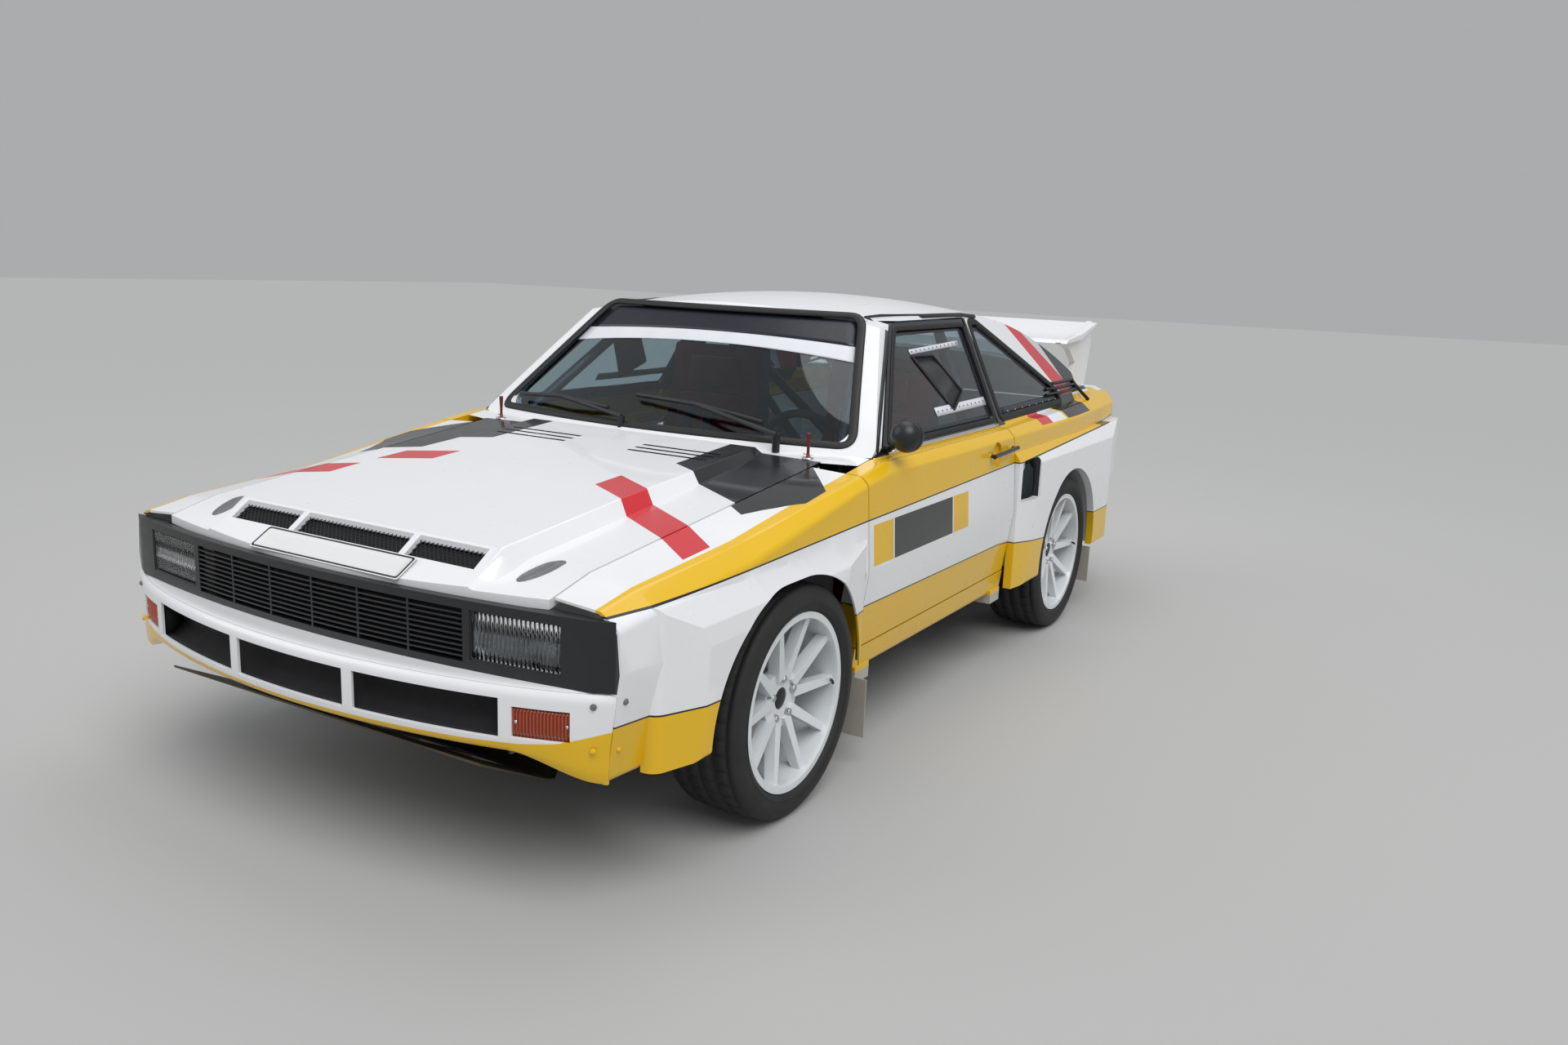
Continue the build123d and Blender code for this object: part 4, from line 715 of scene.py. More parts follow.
def rounded(points, radius, steps=6):
    """Closed outline of 2-D points with rounded corners."""
    result = []
    count = len(points)
    for i in range(count):
        p, q, r = (Vector(points[(i + k) % count]) for k in (-1, 0, 1))
        a, b = (p - q).normalized(), (r - q).normalized()
        reach = min(radius, (p - q).length / 2.2, (r - q).length / 2.2)
        start, end = q + a * reach, q + b * reach
        for k in range(steps + 1):
            t = k / steps
            result.append((1 - t) ** 2 * start + 2 * t * (1 - t) * q + t * t * end)
    return result


def shrunk(outline, by):
    """Convex outline of 2-D points with every side moved inward."""
    points = [Vector(p) for p in outline]
    turn = sum(p.x * q.y - q.x * p.y for p, q in zip(points, points[1:] + points[:1]))
    inward = 1 if turn > 0 else -1
    sides = []
    for p, q in zip(points, points[1:] + points[:1]):
        run = (q - p).normalized()
        normal = Vector((-run.y, run.x)) * inward
        sides.append((normal, normal.dot(p) + by))
    result = []
    for (n, a), (m, b) in zip(sides[-1:] + sides[:-1], sides):
        share = n.x * m.y - n.y * m.x
        result.append(Vector(((a * m.y - b * n.y) / share, (b * n.x - a * m.x) / share)))
    return result


def grown(outline, by):
    """Outline of 2-D points, each moved away from the middle."""
    centre = sum((Vector(p) for p in outline), Vector((0, 0))) / len(outline)
    return [Vector(p) + (Vector(p) - centre).normalized() * by for p in outline]


def divided(points, longest):
    """More points on a closed outline, so that it can follow a curved surface."""
    result = []
    for a, b in zip(points, [*points[1:], points[0]]):
        a, b = Vector(a), Vector(b)
        steps = max(1, int((b - a).length / longest))
        result.extend(a.lerp(b, k / steps) for k in range(steps))
    return result


# Tyres with grooves and cross cuts
HALF_TYRE = (
    # x, radius, from the bead over the sidewall to the middle of the tread
    (-0.094, 0.2300), (-0.0955, 0.2440), (-0.1035, 0.2470), (-0.1120, 0.2560), (-0.1148, 0.2720),
    (-0.1146, 0.2800), (-0.1100, 0.2990), (-0.1010, 0.3110), (-0.0890, 0.3158), (-0.0880, 0.3120),
    (-0.0820, 0.3120), (-0.0810, 0.3168), (-0.0500, 0.3195), (-0.0490, 0.3130), (-0.0390, 0.3130),
    (-0.0380, 0.3197), (-0.0050, 0.3199), (-0.0040, 0.3130),
)
TYRE = HALF_TYRE + tuple((-x, r) for x, r in reversed(HALF_TYRE))
TREAD_STEPS = 264
CUT_EVERY = 6
CUT_DEPTH = 0.0045
CUT_FROM = (0.03, 0.3165)               # only places further out than this x and radius are cut
TREAD_RADIUS = 0.30                     # the points further out than this lean
CUT_LEAN = 0.35                         # turn of the cuts, in radians per metre of x
RING_HEIGHT = 0.0012
SIDE_RINGS = ((0.1133, 0.262), (0.1140, 0.2685))    # x, radius of the raised rings on the sidewall


def make_tyre(end, hand):
    name = f"{end}_tyre_{hand}"
    centre = middle_of(name)
    rings = []
    for k in range(TREAD_STEPS):
        turn = 2 * pi * k / TREAD_STEPS
        ring = []
        for x, r in TYRE:
            if k % CUT_EVERY == 0 and abs(x) > CUT_FROM[0] and r > CUT_FROM[1]:
                r -= CUT_DEPTH
            lean = turn + CUT_LEAN * abs(x) if r > TREAD_RADIUS else turn
            ring.append(centre + Vector((x, r * cos(lean), r * sin(lean))))
        rings.append(ring)
    shape = Shape().sheet(rings, True)
    for side in (-1, 1):
        for x, r in SIDE_RINGS:
            section = ((x, r - RING_HEIGHT), (x + RING_HEIGHT, r), (x, r + RING_HEIGHT))
            shape.lathe(facing(section, side), centre, sides=96, closed=False)
    tyre = shape.done(f"tread_{end}_{hand}", "tyre", f"{end}_wheel_{hand}", slot="tyre_rubber")
    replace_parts(tyre, name)


NUT_CIRCLE, NUT_FACE = 0.056, 0.049
NUT_SECTION = ((0, 0.0005), (0, 0.011), (0.014, 0.0105), (0.017, 0.008), (0.017, 0.0005))
HUB_CAP_SECTION = ((0.030, 0.0292), (0.047, 0.0290), (0.051, 0.026), (0.0535, 0.012), (0.054, 0.0005))
VALVE_FOOT = (0.088, 0.214)              # x, and y from the axle
VALVE_STEPS = ((0, 0), (0.012, -0.012), (0.018, -0.022))


def wheel_details(end, hand, out):
    body = f"{end}_wheel_{hand}"
    centre = middle_of(body)
    nuts = Shape()
    for k in range(5):
        turn = 2 * pi * k / 5 + 0.3
        place = centre + Vector((out * NUT_FACE, NUT_CIRCLE * cos(turn), NUT_CIRCLE * sin(turn)))
        nuts.lathe(facing(NUT_SECTION, out), place, sides=6, closed=False)
    nuts.done(f"wheel_nuts_{end}_{hand}", "steel", body, smooth=False, bevel=0.0008)
    cap = Shape().lathe(facing(HUB_CAP_SECTION, out), centre, sides=40, closed=False)
    cap.done(f"wheel_cap_{end}_{hand}", "dark_steel", body)
    foot = centre + Vector((out * VALVE_FOOT[0], VALVE_FOOT[1], 0))
    valve = [foot + Vector((out * x, y, 0)) for x, y in VALVE_STEPS]
    Shape().tube(valve, 0.004).done(f"valve_{end}_{hand}", "rubber", body)


CALIPER_BLOCKS = (
    # inner x, outer x, inner radius, outer radius
    (-0.062, -0.037, 0.085, 0.150), (-0.003, 0.016, 0.088, 0.150), (-0.062, 0.016, 0.146, 0.164),
)


def caliper(end, hand, out):
    """Brake caliper over the edge of the disc, on its side towards the middle of the car."""
    centre = middle_of(f"{end}_brake_disc_{hand}")
    side = 1 if end == "front" else -1
    shape = Shape()
    for x0, x1, r0, r1 in CALIPER_BLOCKS:
        rings = []
        for turn in (radians(-32 + 8 * k) for k in range(9)):
            y, z = side * cos(turn), sin(turn)
            rings.append([Vector((out * (abs(centre.x) + x), centre.y + y * r, centre.z + z * r))
                          for x, r in ((x0, r0), (x1, r0), (x1, r1), (x0, r1))])
        shape.rings(rings, cap=True)
    body = f"front_hub_{hand}" if end == "front" else "body"
    shape.done(f"caliper_{end}_{hand}", "grey", body, smooth=False, bevel=0.003)


for end in ("front", "rear"):
    for hand, side in HANDS:
        make_tyre(end, hand)
        wheel_details(end, hand, side)
        caliper(end, hand, side)


# Seals, rivets, belt strips and gutters round the glass
SCREEN_FOOT, SCREEN_TOP = (1.330, 0.880), (1.840, 1.312)    # d, z at the middle of the painted surface
CROWN_DROP = 1.955                       # the crown of the windscreen turns about a line this far down
SCREEN = ((-0.700, 0.922), (0.700, 0.922), (0.516, 1.292), (-0.516, 1.292))
DOOR_GLASS = ((1.602, 0.926), (1.948, 1.246), (2.524, 1.250), (2.478, 0.926))
QUARTER_GLASS = ((2.566, 0.926), (2.612, 1.254), (2.680, 1.254), (3.322, 0.972), (3.330, 0.926))
BELT = [(d, 0.903) for d in (1.56, 1.7, 1.85, 2.0, 2.15, 2.3, 2.44, 2.487)]
RIVET_SECTION = [(0.0, 0.0042), (0.0018, 0.0034), (0.0026, 0.0005)]
GUTTER = ((1.50, 0.912), (1.60, 1.005), (1.70, 1.091), (1.80, 1.177), (1.875, 1.243), (1.925, 1.284),
          (2.0, 1.289), (2.2, 1.290), (2.4, 1.290), (2.56, 1.289), (2.68, 1.281))


def windscreen_at(x, z):
    """Place in the painted surface in line with the windscreen, and its outward direction."""
    rake = atan2(SCREEN_TOP[1] - SCREEN_FOOT[1], SCREEN_TOP[0] - SCREEN_FOOT[0])
    level = hypot(x, z + CROWN_DROP) - CROWN_DROP
    d = SCREEN_FOOT[0] + (level - SCREEN_FOOT[1]) / tan(rake)
    normal = Vector((sin(rake) * x / (level + CROWN_DROP) * 0.3, -sin(rake), cos(rake))).normalized()
    return at(x, d, z), normal


def on_side(side, tree=SHELL):
    return lambda d, z: look_in(d, z, side, tree)


def outline_of(corners, radius, longest):
    return divided(rounded(corners, radius), longest)


def strip(name, outline, probe, body="body", width=0.012, lift=0.001, look="rubber", closed=True, flat=0.35):
    """Flattened tube on the surface that the probe finds for each point of the outline."""
    hits = [probe(*p) for p in outline]
    points, normals = [hit + normal * lift for hit, normal in hits], [normal for _, normal in hits]
    Shape().tube(points, width, 8, closed, flat, normals).done(name, look, body)


strip("windscreen_seal", outline_of(SCREEN, 0.045, 0.05), windscreen_at, width=0.015, lift=0.0, flat=0.4)
for hand, side in HANDS:
    flank, door = on_side(side), f"door_{hand}"
    strip(f"door_seal_{hand}", outline_of(grown(DOOR_GLASS, 0.012), 0.02, 0.06), flank, door, width=0.009)
    line = outline_of(grown(QUARTER_GLASS, 0.016), 0.02, 0.06)
    strip(f"quarter_seal_{hand}", line, flank, width=0.014, flat=0.25)
    rivets = Shape()
    for d, z in divided(grown(QUARTER_GLASS, -0.022), 0.085):
        rivets.lathe(RIVET_SECTION, *flank(d, z), sides=10, closed=False)
    rivets.done(f"quarter_rivets_{hand}", "steel")
    strip(f"belt_strip_{hand}", BELT, flank, door, 0.007, 0.003, "chrome", closed=False, flat=0.6)
    strip(f"gutter_{hand}", GUTTER, flank, "body", 0.008, 0.002, "trim", closed=False, flat=0.7)


# Dark band and pale strip on the windscreen glass
GLASS_DEPTH = 0.0092                     # of the glass below the painted surface


def screen_sheet(name, look, top, bottom, half_top, half_bottom):
    """Sheet on the glass between two lines, each a height and how far it drops per square of x."""
    def place(down, along):
        x = (half_top + (half_bottom - half_top) * down) * (along * 2 - 1)
        high, low = (z - drop * x * x for z, drop in (top, bottom))
        spot, normal = windscreen_at(x, high * (1 - down) + low * down)
        return spot - normal * GLASS_DEPTH
    Shape().sheet(grid(8, 24, place)).done(name, look, thick=0.0003)


screen_sheet("sun_band", "band", (1.302, 0.06), (1.224, 0.07), 0.508, 0.548)
screen_sheet("sun_strip", "strip", (1.224, 0.07), (1.189, 0.10), 0.548, 0.566)


# Front bumper: one pressed skin with rounded ends that meet the wings, pierced by its openings
OPENINGS = ((0.0, 0.184), (0.214, 0.592))
OPEN_LOW, OPEN_HIGH = 0.4285, 0.5180
INDICATOR = (0.622, 0.746, 0.4335, 0.5030)
WING_MEETS_AT = 0.1895                   # d of the skin's ends
ENDS_FROM, ENDS_TO = 0.771, 0.838        # from this x on the ends follow the wing, up to their nominal x
BUMPER_DROP = (0.60, 0.82, 2.0)          # between these x the lower edge sinks, by this share of its depth
BUMPER_ROWS = (
    # behind the face, z
    (None, 0.5440), (0.034, 0.5440), (0.018, 0.5435), (0.008, 0.5405), (0.002, 0.5350), (0.0, 0.5270),
    (0.0, OPEN_HIGH), (0.0, INDICATOR[3]), (0.0, OPEN_LOW + 0.005), (0.0005, OPEN_LOW), (0.002, 0.4120),
    (0.005, 0.4040), (0.011, 0.4000), (0.030, 0.3990),
)
GRILLE_TIP, GRILLE_BOW, GRILLE_HALF = 0.092, 0.076, 0.785
DUCT_HALF = 0.6


def bumper_d(x, setback=0.0):
    tip, bow, corner = NOSE
    return tip + bow * x ** 2 + corner * x ** 8 + setback


def grille_d(x, setback=0.0):
    radius = (GRILLE_HALF ** 2 + GRILLE_BOW ** 2) / (2 * GRILLE_BOW)
    return GRILLE_TIP + radius - sqrt(radius ** 2 - x * x) + setback


def bumper_columns():
    """x of the skin's columns: even steps and every edge of an opening."""
    marks = {0.0, INDICATOR[0], INDICATOR[1], ENDS_FROM, *OPENINGS[0], *OPENINGS[1]}
    marks = sorted(marks | {round(ENDS_TO * k / 44, 4) for k in range(45)})
    kept = (*OPENINGS[1], *INDICATOR)
    marks = [x for i, x in enumerate(marks) if i == 0 or x - marks[i - 1] > 0.003 or x in kept]
    return [-x for x in reversed(marks[1:])] + marks


def bumper_point(x, back, z, wing):
    """Point of the skin in a row; at the ends it runs out to the wing's half width."""
    side = abs(x)
    d = max(grille_d(side, 0.004), bumper_d(side, 0.040)) if back is None else bumper_d(side, back)
    x_from, x_to, drop = BUMPER_DROP
    sink = min(max((side - x_from) / (x_to - x_from), 0.0), 1.0)
    sink = drop * sink * sink * (3 - 2 * sink)
    if side > ENDS_FROM:
        share = (side - ENDS_FROM) / (ENDS_TO - ENDS_FROM)
        side = ENDS_FROM + (wing - ENDS_FROM) * share
    low = min(z, z - (OPEN_LOW - z) * sink)
    return at(side if x > 0 else -side, min(d, WING_MEETS_AT + 0.001), low)


def bumper_skin():
    xs = bumper_columns()
    rows = []
    for back, z in BUMPER_ROWS:
        wing = abs(look_in(0.200, z, 1, WINGS)[0].x) - 0.004
        rows.append([bumper_point(x, back, z, wing) for x in xs])

    def is_hole(i, j):
        x, z = abs(xs[j] + xs[j + 1]) / 2, (BUMPER_ROWS[i][1] + BUMPER_ROWS[i + 1][1]) / 2
        in_duct = any(x0 < x < x1 for x0, x1 in OPENINGS) and OPEN_LOW < z < OPEN_HIGH
        return in_duct or INDICATOR[0] < x < INDICATOR[1] and INDICATOR[2] < z < INDICATOR[3]
    return Shape().sheet(rows, is_hole=is_hole).done("bumper_skin", "bumper", thick=0.008, bevel=0.0025)


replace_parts(bumper_skin(), "front_bumper")
floor_z, roof_z = OPEN_LOW - 0.004, OPEN_HIGH + 0.010
section = ((0.007, floor_z), (0.030, floor_z), (0.060, OPEN_LOW + 0.020), (0.064, OPEN_HIGH), (0.050, roof_z))
xs = [DUCT_HALF * k / 12 for k in range(-12, 13)]
hollow = Shape().sheet([[at(x, bumper_d(x, back), z) for x in xs] for back, z in section])
for x in (-DUCT_HALF, DUCT_HALF):
    hollow.sheet([[at(x, bumper_d(x, back), z) for back in (0.007, 0.064)] for z in (floor_z, roof_z)])
hollow.done("bumper_back", "dash", thick=0.003)

# Panels that close the gaps between the rear flares, the tail and the rear bumper
CLOSING_FRONT, CLOSING_REAR = (0.871, 3.700), (0.783, 3.965)    # x, d
FILLER_LINE = ((0.794, 3.966), (0.769, 3.984), (0.733, 4.071), (0.690, 4.071))
for hand, side in HANDS:
    (x0, d0), (x1, d1) = CLOSING_FRONT, CLOSING_REAR
    line = [(x0 + (x1 - x0) * k / 8, d0 + (d1 - d0) * k / 8) for k in range(9)]
    rows = [[at(side * x, d, z) for x, d in line] for z in (0.393, 0.440, 0.520, 0.600)]
    Shape().sheet(rows).done(f"rear_closing_{hand}", "sill", thick=0.005)
    rows = [[at(side * x, d, z) for x, d in FILLER_LINE] for z in (0.556, 0.604)]
    Shape().sheet(rows).done(f"rear_filler_{hand}", "white", thick=0.003)


# Wire mesh in the front edge of the bonnet, and the dark backs of the openings
MESH_REACH = 0.062                       # how far a wire runs sideways on its way up
MESH_PITCH, MESH_WIRE = 0.014, 0.0014
MESH_FOOT, MESH_RUN = (0.1955, 0.7430), (0.0585, 0.0416)    # d, z of its foot, and from there to its top


def bonnet_edge(x, share):
    return at(x, MESH_FOOT[0] + MESH_RUN[0] * share, MESH_FOOT[1] + MESH_RUN[1] * share)


def wire_mesh(name, x0, x1):
    """Crossed wires between two x."""
    shape = Shape()
    for lean in (1, -1):
        for i in range(int((x1 - x0 + MESH_REACH) / MESH_PITCH)):
            foot = x0 + i * MESH_PITCH - (MESH_REACH if lean > 0 else 0.0)
            low, high = sorted((x - foot) / (lean * MESH_REACH) for x in (x0, x1))
            low, high = max(0.0, low), min(1.0, high)
            if high - low > 0.02:
                start, end = (bonnet_edge(foot + lean * MESH_REACH * t, t) for t in (low, high))
                lift = REARWARD * -0.0006 * lean
                shape.bar(start + lift, end + lift, MESH_WIRE, REARWARD)
    shape.done(name, "trim", "bonnet", smooth=False)


for i, (x0, x1) in enumerate(((-0.425, -0.205), (-0.185, 0.185), (0.205, 0.425))):
    wire_mesh(f"bonnet_mesh_{i}", x0 - 0.004, x1 + 0.004)
rows = [[at(x, d, z) for x in (-0.43, 0.43)] for d, z in ((0.196, 0.730), (0.264, 0.776))]
Shape().sheet(rows).done("bonnet_duct", "dash", "bonnet", thick=0.002)
xs = (-0.46, -0.3, -0.15, 0.0, 0.15, 0.3, 0.46)
rows = [[at(x, grille_d(x, 0.045), z) for x in xs] for z in (0.565, 0.688)]
Shape().sheet(rows).done("grille_back", "dash", thick=0.004)
rows = [[at(x, 0.30, z) for x in (-0.62, 0.62)] for z in (0.37, 0.545)]
Shape().sheet(rows).done("radiator_core", "dash", thick=0.012)
for hand, side in HANDS:
    rows = []
    for d in (1.122, 1.156, 1.194, 1.228):
        tops = [look_down(side * x, d, BONNET)[0] for x in (0.122, 0.2, 0.3, 0.415)]
        rows.append([Vector((top.x, d - HALF_LENGTH, top.z - 0.0255)) for top in tops])
    Shape().sheet(rows).done(f"louvre_tray_{hand}", "dash", "bonnet", thick=0.0015)


# Bonnet latches and pins
LATCH_PLACE = (0.551, 0.276)
LATCH_LONG, LATCH_SHORT, LATCH_LEAN = 0.063, 0.0235, radians(73)
LATCH_RINGS = (
    # share of the length, share of the width, height
    (1, 1, -0.001), (1, 1, 0.0012), (0.97, 0.93, 0.0022), (0.86, 0.70, 0.0022), (0.85, 0.67, 0.0008),
    (0.83, 0.63, 0.0008), (0.82, 0.60, 0.0026), (0.60, 0.40, 0.0030), (0.05, 0.05, 0.0030),
)
PIN_PLACE = (0.609, 1.372)
PIN_SECTION = [(-0.004, 0.0005), (-0.004, 0.012), (0.002, 0.012), (0.004, 0.006), (0.018, 0.0045),
               (0.030, 0.0045), (0.072, 0.0068), (0.076, 0.006), (0.077, 0.0005)]
WASHER_SECTION = [(-0.002, 0.0075), (0.003, 0.0075), (0.004, 0.014), (0.001, 0.0185), (-0.003, 0.0185)]


def latch_ring(long, wide, lift, side):
    x, d = LATCH_PLACE
    ring = []
    for turn in (2 * pi * k / 40 for k in range(40)):
        a, b = LATCH_LONG * long * cos(turn), LATCH_SHORT * wide * sin(turn)
        out, back = a * cos(LATCH_LEAN) - b * sin(LATCH_LEAN), a * sin(LATCH_LEAN) + b * cos(LATCH_LEAN)
        top, normal = look_down(side * (x + out), d + back, BONNET)
        ring.append(top + normal * lift)
    return ring


for hand, side in HANDS:
    latch = Shape().rings([latch_ring(*sizes, side) for sizes in LATCH_RINGS], cap=True)
    latch.done(f"bonnet_latch_{hand}", "grey", "bonnet")
    foot, _ = look_down(side * PIN_PLACE[0], PIN_PLACE[1])
    pin = Shape().lathe(PIN_SECTION, foot, UPWARD, sides=20, closed=False)
    pin.done(f"bonnet_pin_{hand}", "pin")
    washer = Shape().lathe(WASHER_SECTION, foot, UPWARD, sides=28)
    washer.tube([foot + Vector((x, 0, 0.012)) for x in (-0.016, 0.016)], 0.0016)
    washer.done(f"pin_washer_{hand}", "steel")


# Blank plate on the front edge of the bonnet
PLATE_FRONT, PLATE_REAR = (0.120, 0.7145), (0.186, 0.7545)    # d, z
PLATE_HALF = 0.26
PLATE_LONG = hypot(PLATE_REAR[0] - PLATE_FRONT[0], PLATE_REAR[1] - PLATE_FRONT[1])


def plate_ring(inset, lift):
    """Rounded outline of the plate, moved inward and lifted."""
    corners = rectangle(inset - PLATE_HALF, PLATE_HALF - inset, inset, PLATE_LONG - inset)
    (d0, z0), (d1, z1) = PLATE_FRONT, PLATE_REAR
    slope = atan2(z1 - z0, d1 - d0)
    ring = []
    for x, reach in rounded(corners, 0.008):
        share = reach / PLATE_LONG
        d, z = d0 + (d1 - d0) * share, z0 + (z1 - z0) * share
        ring.append(at(x, d - lift * sin(slope), z + lift * cos(slope)))
    return ring


steps = ((0.0, 0.0005), (0.0, 0.0020), (0.0008, 0.0026), (0.0030, 0.0026), (0.0034, 0.0021), (0.03, 0.0021))
plate = Shape().rings([plate_ring(*step) for step in steps], cap=True)
plate.done("front_plate", "plate", "bonnet")
steps = ((0.0036, 0.0024), (0.0038, 0.0031), (0.0078, 0.0031), (0.0080, 0.0024))
border = Shape().rings([plate_ring(*step) for step in steps], closed=True)
border.done("front_plate_border", "trim", "bonnet")


# Bolts of the bumper's ends, pillar fins, fuel cap and mirror
BOLT_SECTION = [(-0.001, 0.0075), (0.0015, 0.0075), (0.002, 0.0052), (0.005, 0.0048), (0.006, 0.0005)]
BOLT_X = 0.792                           # of the two bolts in the bumper's face
BOLTS = ((None, 0.520), (None, 0.4205), (0.215, 0.527), (0.215, 0.415))    # d in the wing, or None; z
FINS = ((0.956, 3.20, 3.60), (0.976, 3.22, 3.66), (0.996, 3.26, 3.70))     # z, from d, to d
CAP_SECTION = [(-0.001, 0.046), (0.002, 0.046), (0.0035, 0.0445), (0.0035, 0.0405), (0.0015, 0.0400),
               (0.0015, 0.0385), (0.0045, 0.0370), (0.0055, 0.0300), (0.0055, 0.0005)]
MIRROR = (0.856, 1.538, 0.966)
MIRROR_GLASS = [(-0.002, 0.0430), (0.0006, 0.0430), (0.0010, 0.0420), (0.0010, 0.0005)]
MIRROR_RIM = [(-0.022, 0.0460), (-0.021, 0.0492), (-0.002, 0.0492), (0.002, 0.0478), (0.002, 0.0445),
              (-0.001, 0.0430)]


def bolt_place(d, z, side):
    if d is not None:
        return look_in(d, z, side)
    slope = 2 * NOSE[1] * BOLT_X + 8 * NOSE[2] * BOLT_X ** 7
    normal = Vector((side * slope, -1.0, 0)).normalized()
    return at(side * BOLT_X, bumper_d(BOLT_X), z) + 0.004 * normal, normal


for hand, side in HANDS:
    for i, (d, z) in enumerate(BOLTS):
        bolt = Shape().lathe(BOLT_SECTION, *bolt_place(d, z, side), sides=12, closed=False)
        bolt.done(f"nose_bolt_{i}_{hand}", "sill" if i % 2 else "grey", smooth=False, bevel=0.0004)
    fins = Shape()
    for z, d0, d1 in FINS:
        hits = [look_in(d0 + (d1 - d0) * k / 8, z, side) for k in range(9)]
        fins.tube([hit + normal * 0.004 for hit, normal in hits], 0.0065, sides=8, flat=1.2,
                  normal=[normal for _, normal in hits])
    fins.done(f"pillar_fins_{hand}", "trim")
hit, normal = look_in(4.045, 0.67)
cap = Shape().lathe(CAP_SECTION, hit, normal, closed=False)
cap.box(hit.x + 0.004, hit.x + 0.010, 4.015, 4.075, 0.664, 0.676)
cap.done("fuel_cap", "wheel", bevel=0.0006)
Shape().lathe(MIRROR_GLASS, at(*MIRROR), REARWARD, closed=False).done("mirror_glass", "chrome", "door_left")
Shape().lathe(MIRROR_RIM, at(*MIRROR), REARWARD, sides=64).done("mirror_rim", "trim", "door_left")


# Borders, sliders and vent strips on the side windows
SLIDER = ((2.007, 1.163), (2.178, 1.161), (2.312, 1.031), (2.179, 0.976))
STRIPS = (((2.006, 1.184), (2.439, 1.200), (2.439, 1.184), (2.006, 1.168)),
          ((2.027, 0.996), (2.480, 1.001), (2.480, 0.973), (2.027, 0.968)))
DOT_SECTION = [(0.0014, 0.0042), (0.0021, 0.0038), (0.0021, 0.0005)]


def border_sheet(name, outline, radius, width, probe, body="body"):
    """Dark border just inside an outline of the glass."""
    edge = shrunk(outline, 0.001)
    outer, inner = rounded(edge, radius), rounded(shrunk(edge, width), 0.012)
    rows = [[], [], []]
    for (p0, p1), (q0, q1) in zip(zip(outer, outer[1:] + outer[:1]), zip(inner, inner[1:] + inner[:1])):
        steps = max(1, int((p1 - p0).length / 0.05))
        for k in range(steps):
            p, q = p0.lerp(p1, k / steps), q0.lerp(q1, k / steps)
            for i, row in enumerate(rows):
                hit, normal = probe(*p.lerp(q, i / 2))
                row.append(hit + normal * 0.0008)
    Shape().sheet([row + row[:1] for row in rows]).done(name, "band", body, thick=0.0004)


def patch(name, corners, probe, lift, look, body, thick=0.0006):
    """Four-cornered sheet laid on the glass."""
    a, b, c, e = (Vector(p) for p in corners)

    def place(down, along):
        hit, normal = probe(*a.lerp(b, along).lerp(e.lerp(c, along), down))
        return hit + normal * lift
    Shape().sheet(grid(2, 10, place)).done(name, look, body, thick=thick)


for hand, side in HANDS:
    probe, door = on_side(side, PANES), f"door_{hand}"
    border_sheet(f"quarter_border_{hand}", QUARTER_GLASS, 0.018, 0.026, probe)
    border_sheet(f"door_border_{hand}", DOOR_GLASS, 0.02, 0.014, probe, door)
    line = outline_of(SLIDER, 0.012, 0.03)
    strip(f"slider_frame_{hand}", line, probe, door, 0.0045, 0.002, "trim", flat=0.6)
    # dark sheet in the open slider: painted shade of the cabin behind it
    patch(f"slider_opening_shade_{hand}", SLIDER, probe, 0.0015, "slider_shade", door)
    dots = Shape()
    for i, corners in enumerate(STRIPS):
        patch(f"vent_strip_{i}_{hand}", corners, probe, 0.0012, "strip", door, thick=0.001)
        a, b, c, e = (Vector(p) for p in corners)
        start, end = (a + e) / 2, (b + c) / 2
        for k in range(12):
            dots.lathe(DOT_SECTION, *probe(*start.lerp(end, (k + 0.5) / 12)), sides=12, closed=False)
    dots.done(f"vent_dots_{hand}", "trim", door)


# Seats: pads in the hollow of the shell and the harness over them
SEATS = (("driver", SEAT_MIDDLE), ("codriver", -SEAT_MIDDLE))
BASE_LINE = ((1.836, 0.452), (1.90, 0.441), (1.98, 0.430), (2.06, 0.421), (2.125, 0.420))
BACK_LINE = ((2.150, 0.440), (2.205, 0.580), (2.250, 0.690), (2.285, 0.800), (2.318, 0.930))
HEAD_LINE = ((2.322, 0.955), (2.332, 1.010), (2.343, 1.075))
PAD_ROWS, PAD_COLUMNS = 28, 14
STRAP_OFFSET = 0.075
SHOULDER_STRAP = (
    # share of the offset, d, z
    (0.55, 2.318, 0.905), (0.55, 2.235, 0.885), (0.62, 2.205, 0.84), (0.8, 2.150, 0.70), (1.0, 2.085, 0.56),
)
LAP_STRAP = ((1.95, 2.12, 0.47), (1.4, 2.07, 0.515), (0.2, 2.02, 0.535))
BUCKLE_PLACE = (2.018, 0.540)
BUCKLE_SECTION = [(-0.006, 0.0005), (-0.006, 0.028), (0.006, 0.030), (0.012, 0.024), (0.013, 0.0005)]


def along_line(line, share):
    """Base point and upward normal at a share of a side-view line of (d, z) points."""
    lengths = [0.0]
    for a, b in zip(line, line[1:]):
        lengths.append(lengths[-1] + hypot(b[0] - a[0], b[1] - a[1]))
    reach = lengths[-1] * share
    k = max(j for j in range(len(line) - 1) if lengths[j] <= reach + 1e-9)
    part = (reach - lengths[k]) / (lengths[k + 1] - lengths[k])
    (d0, z0), (d1, z1) = line[k], line[k + 1]
    run = Vector((0, d1 - d0, z1 - z0)).normalized()
    return Vector((0, d0 + (d1 - d0) * part, z0 + (z1 - z0) * part)), Vector((0, -run.z, run.y))


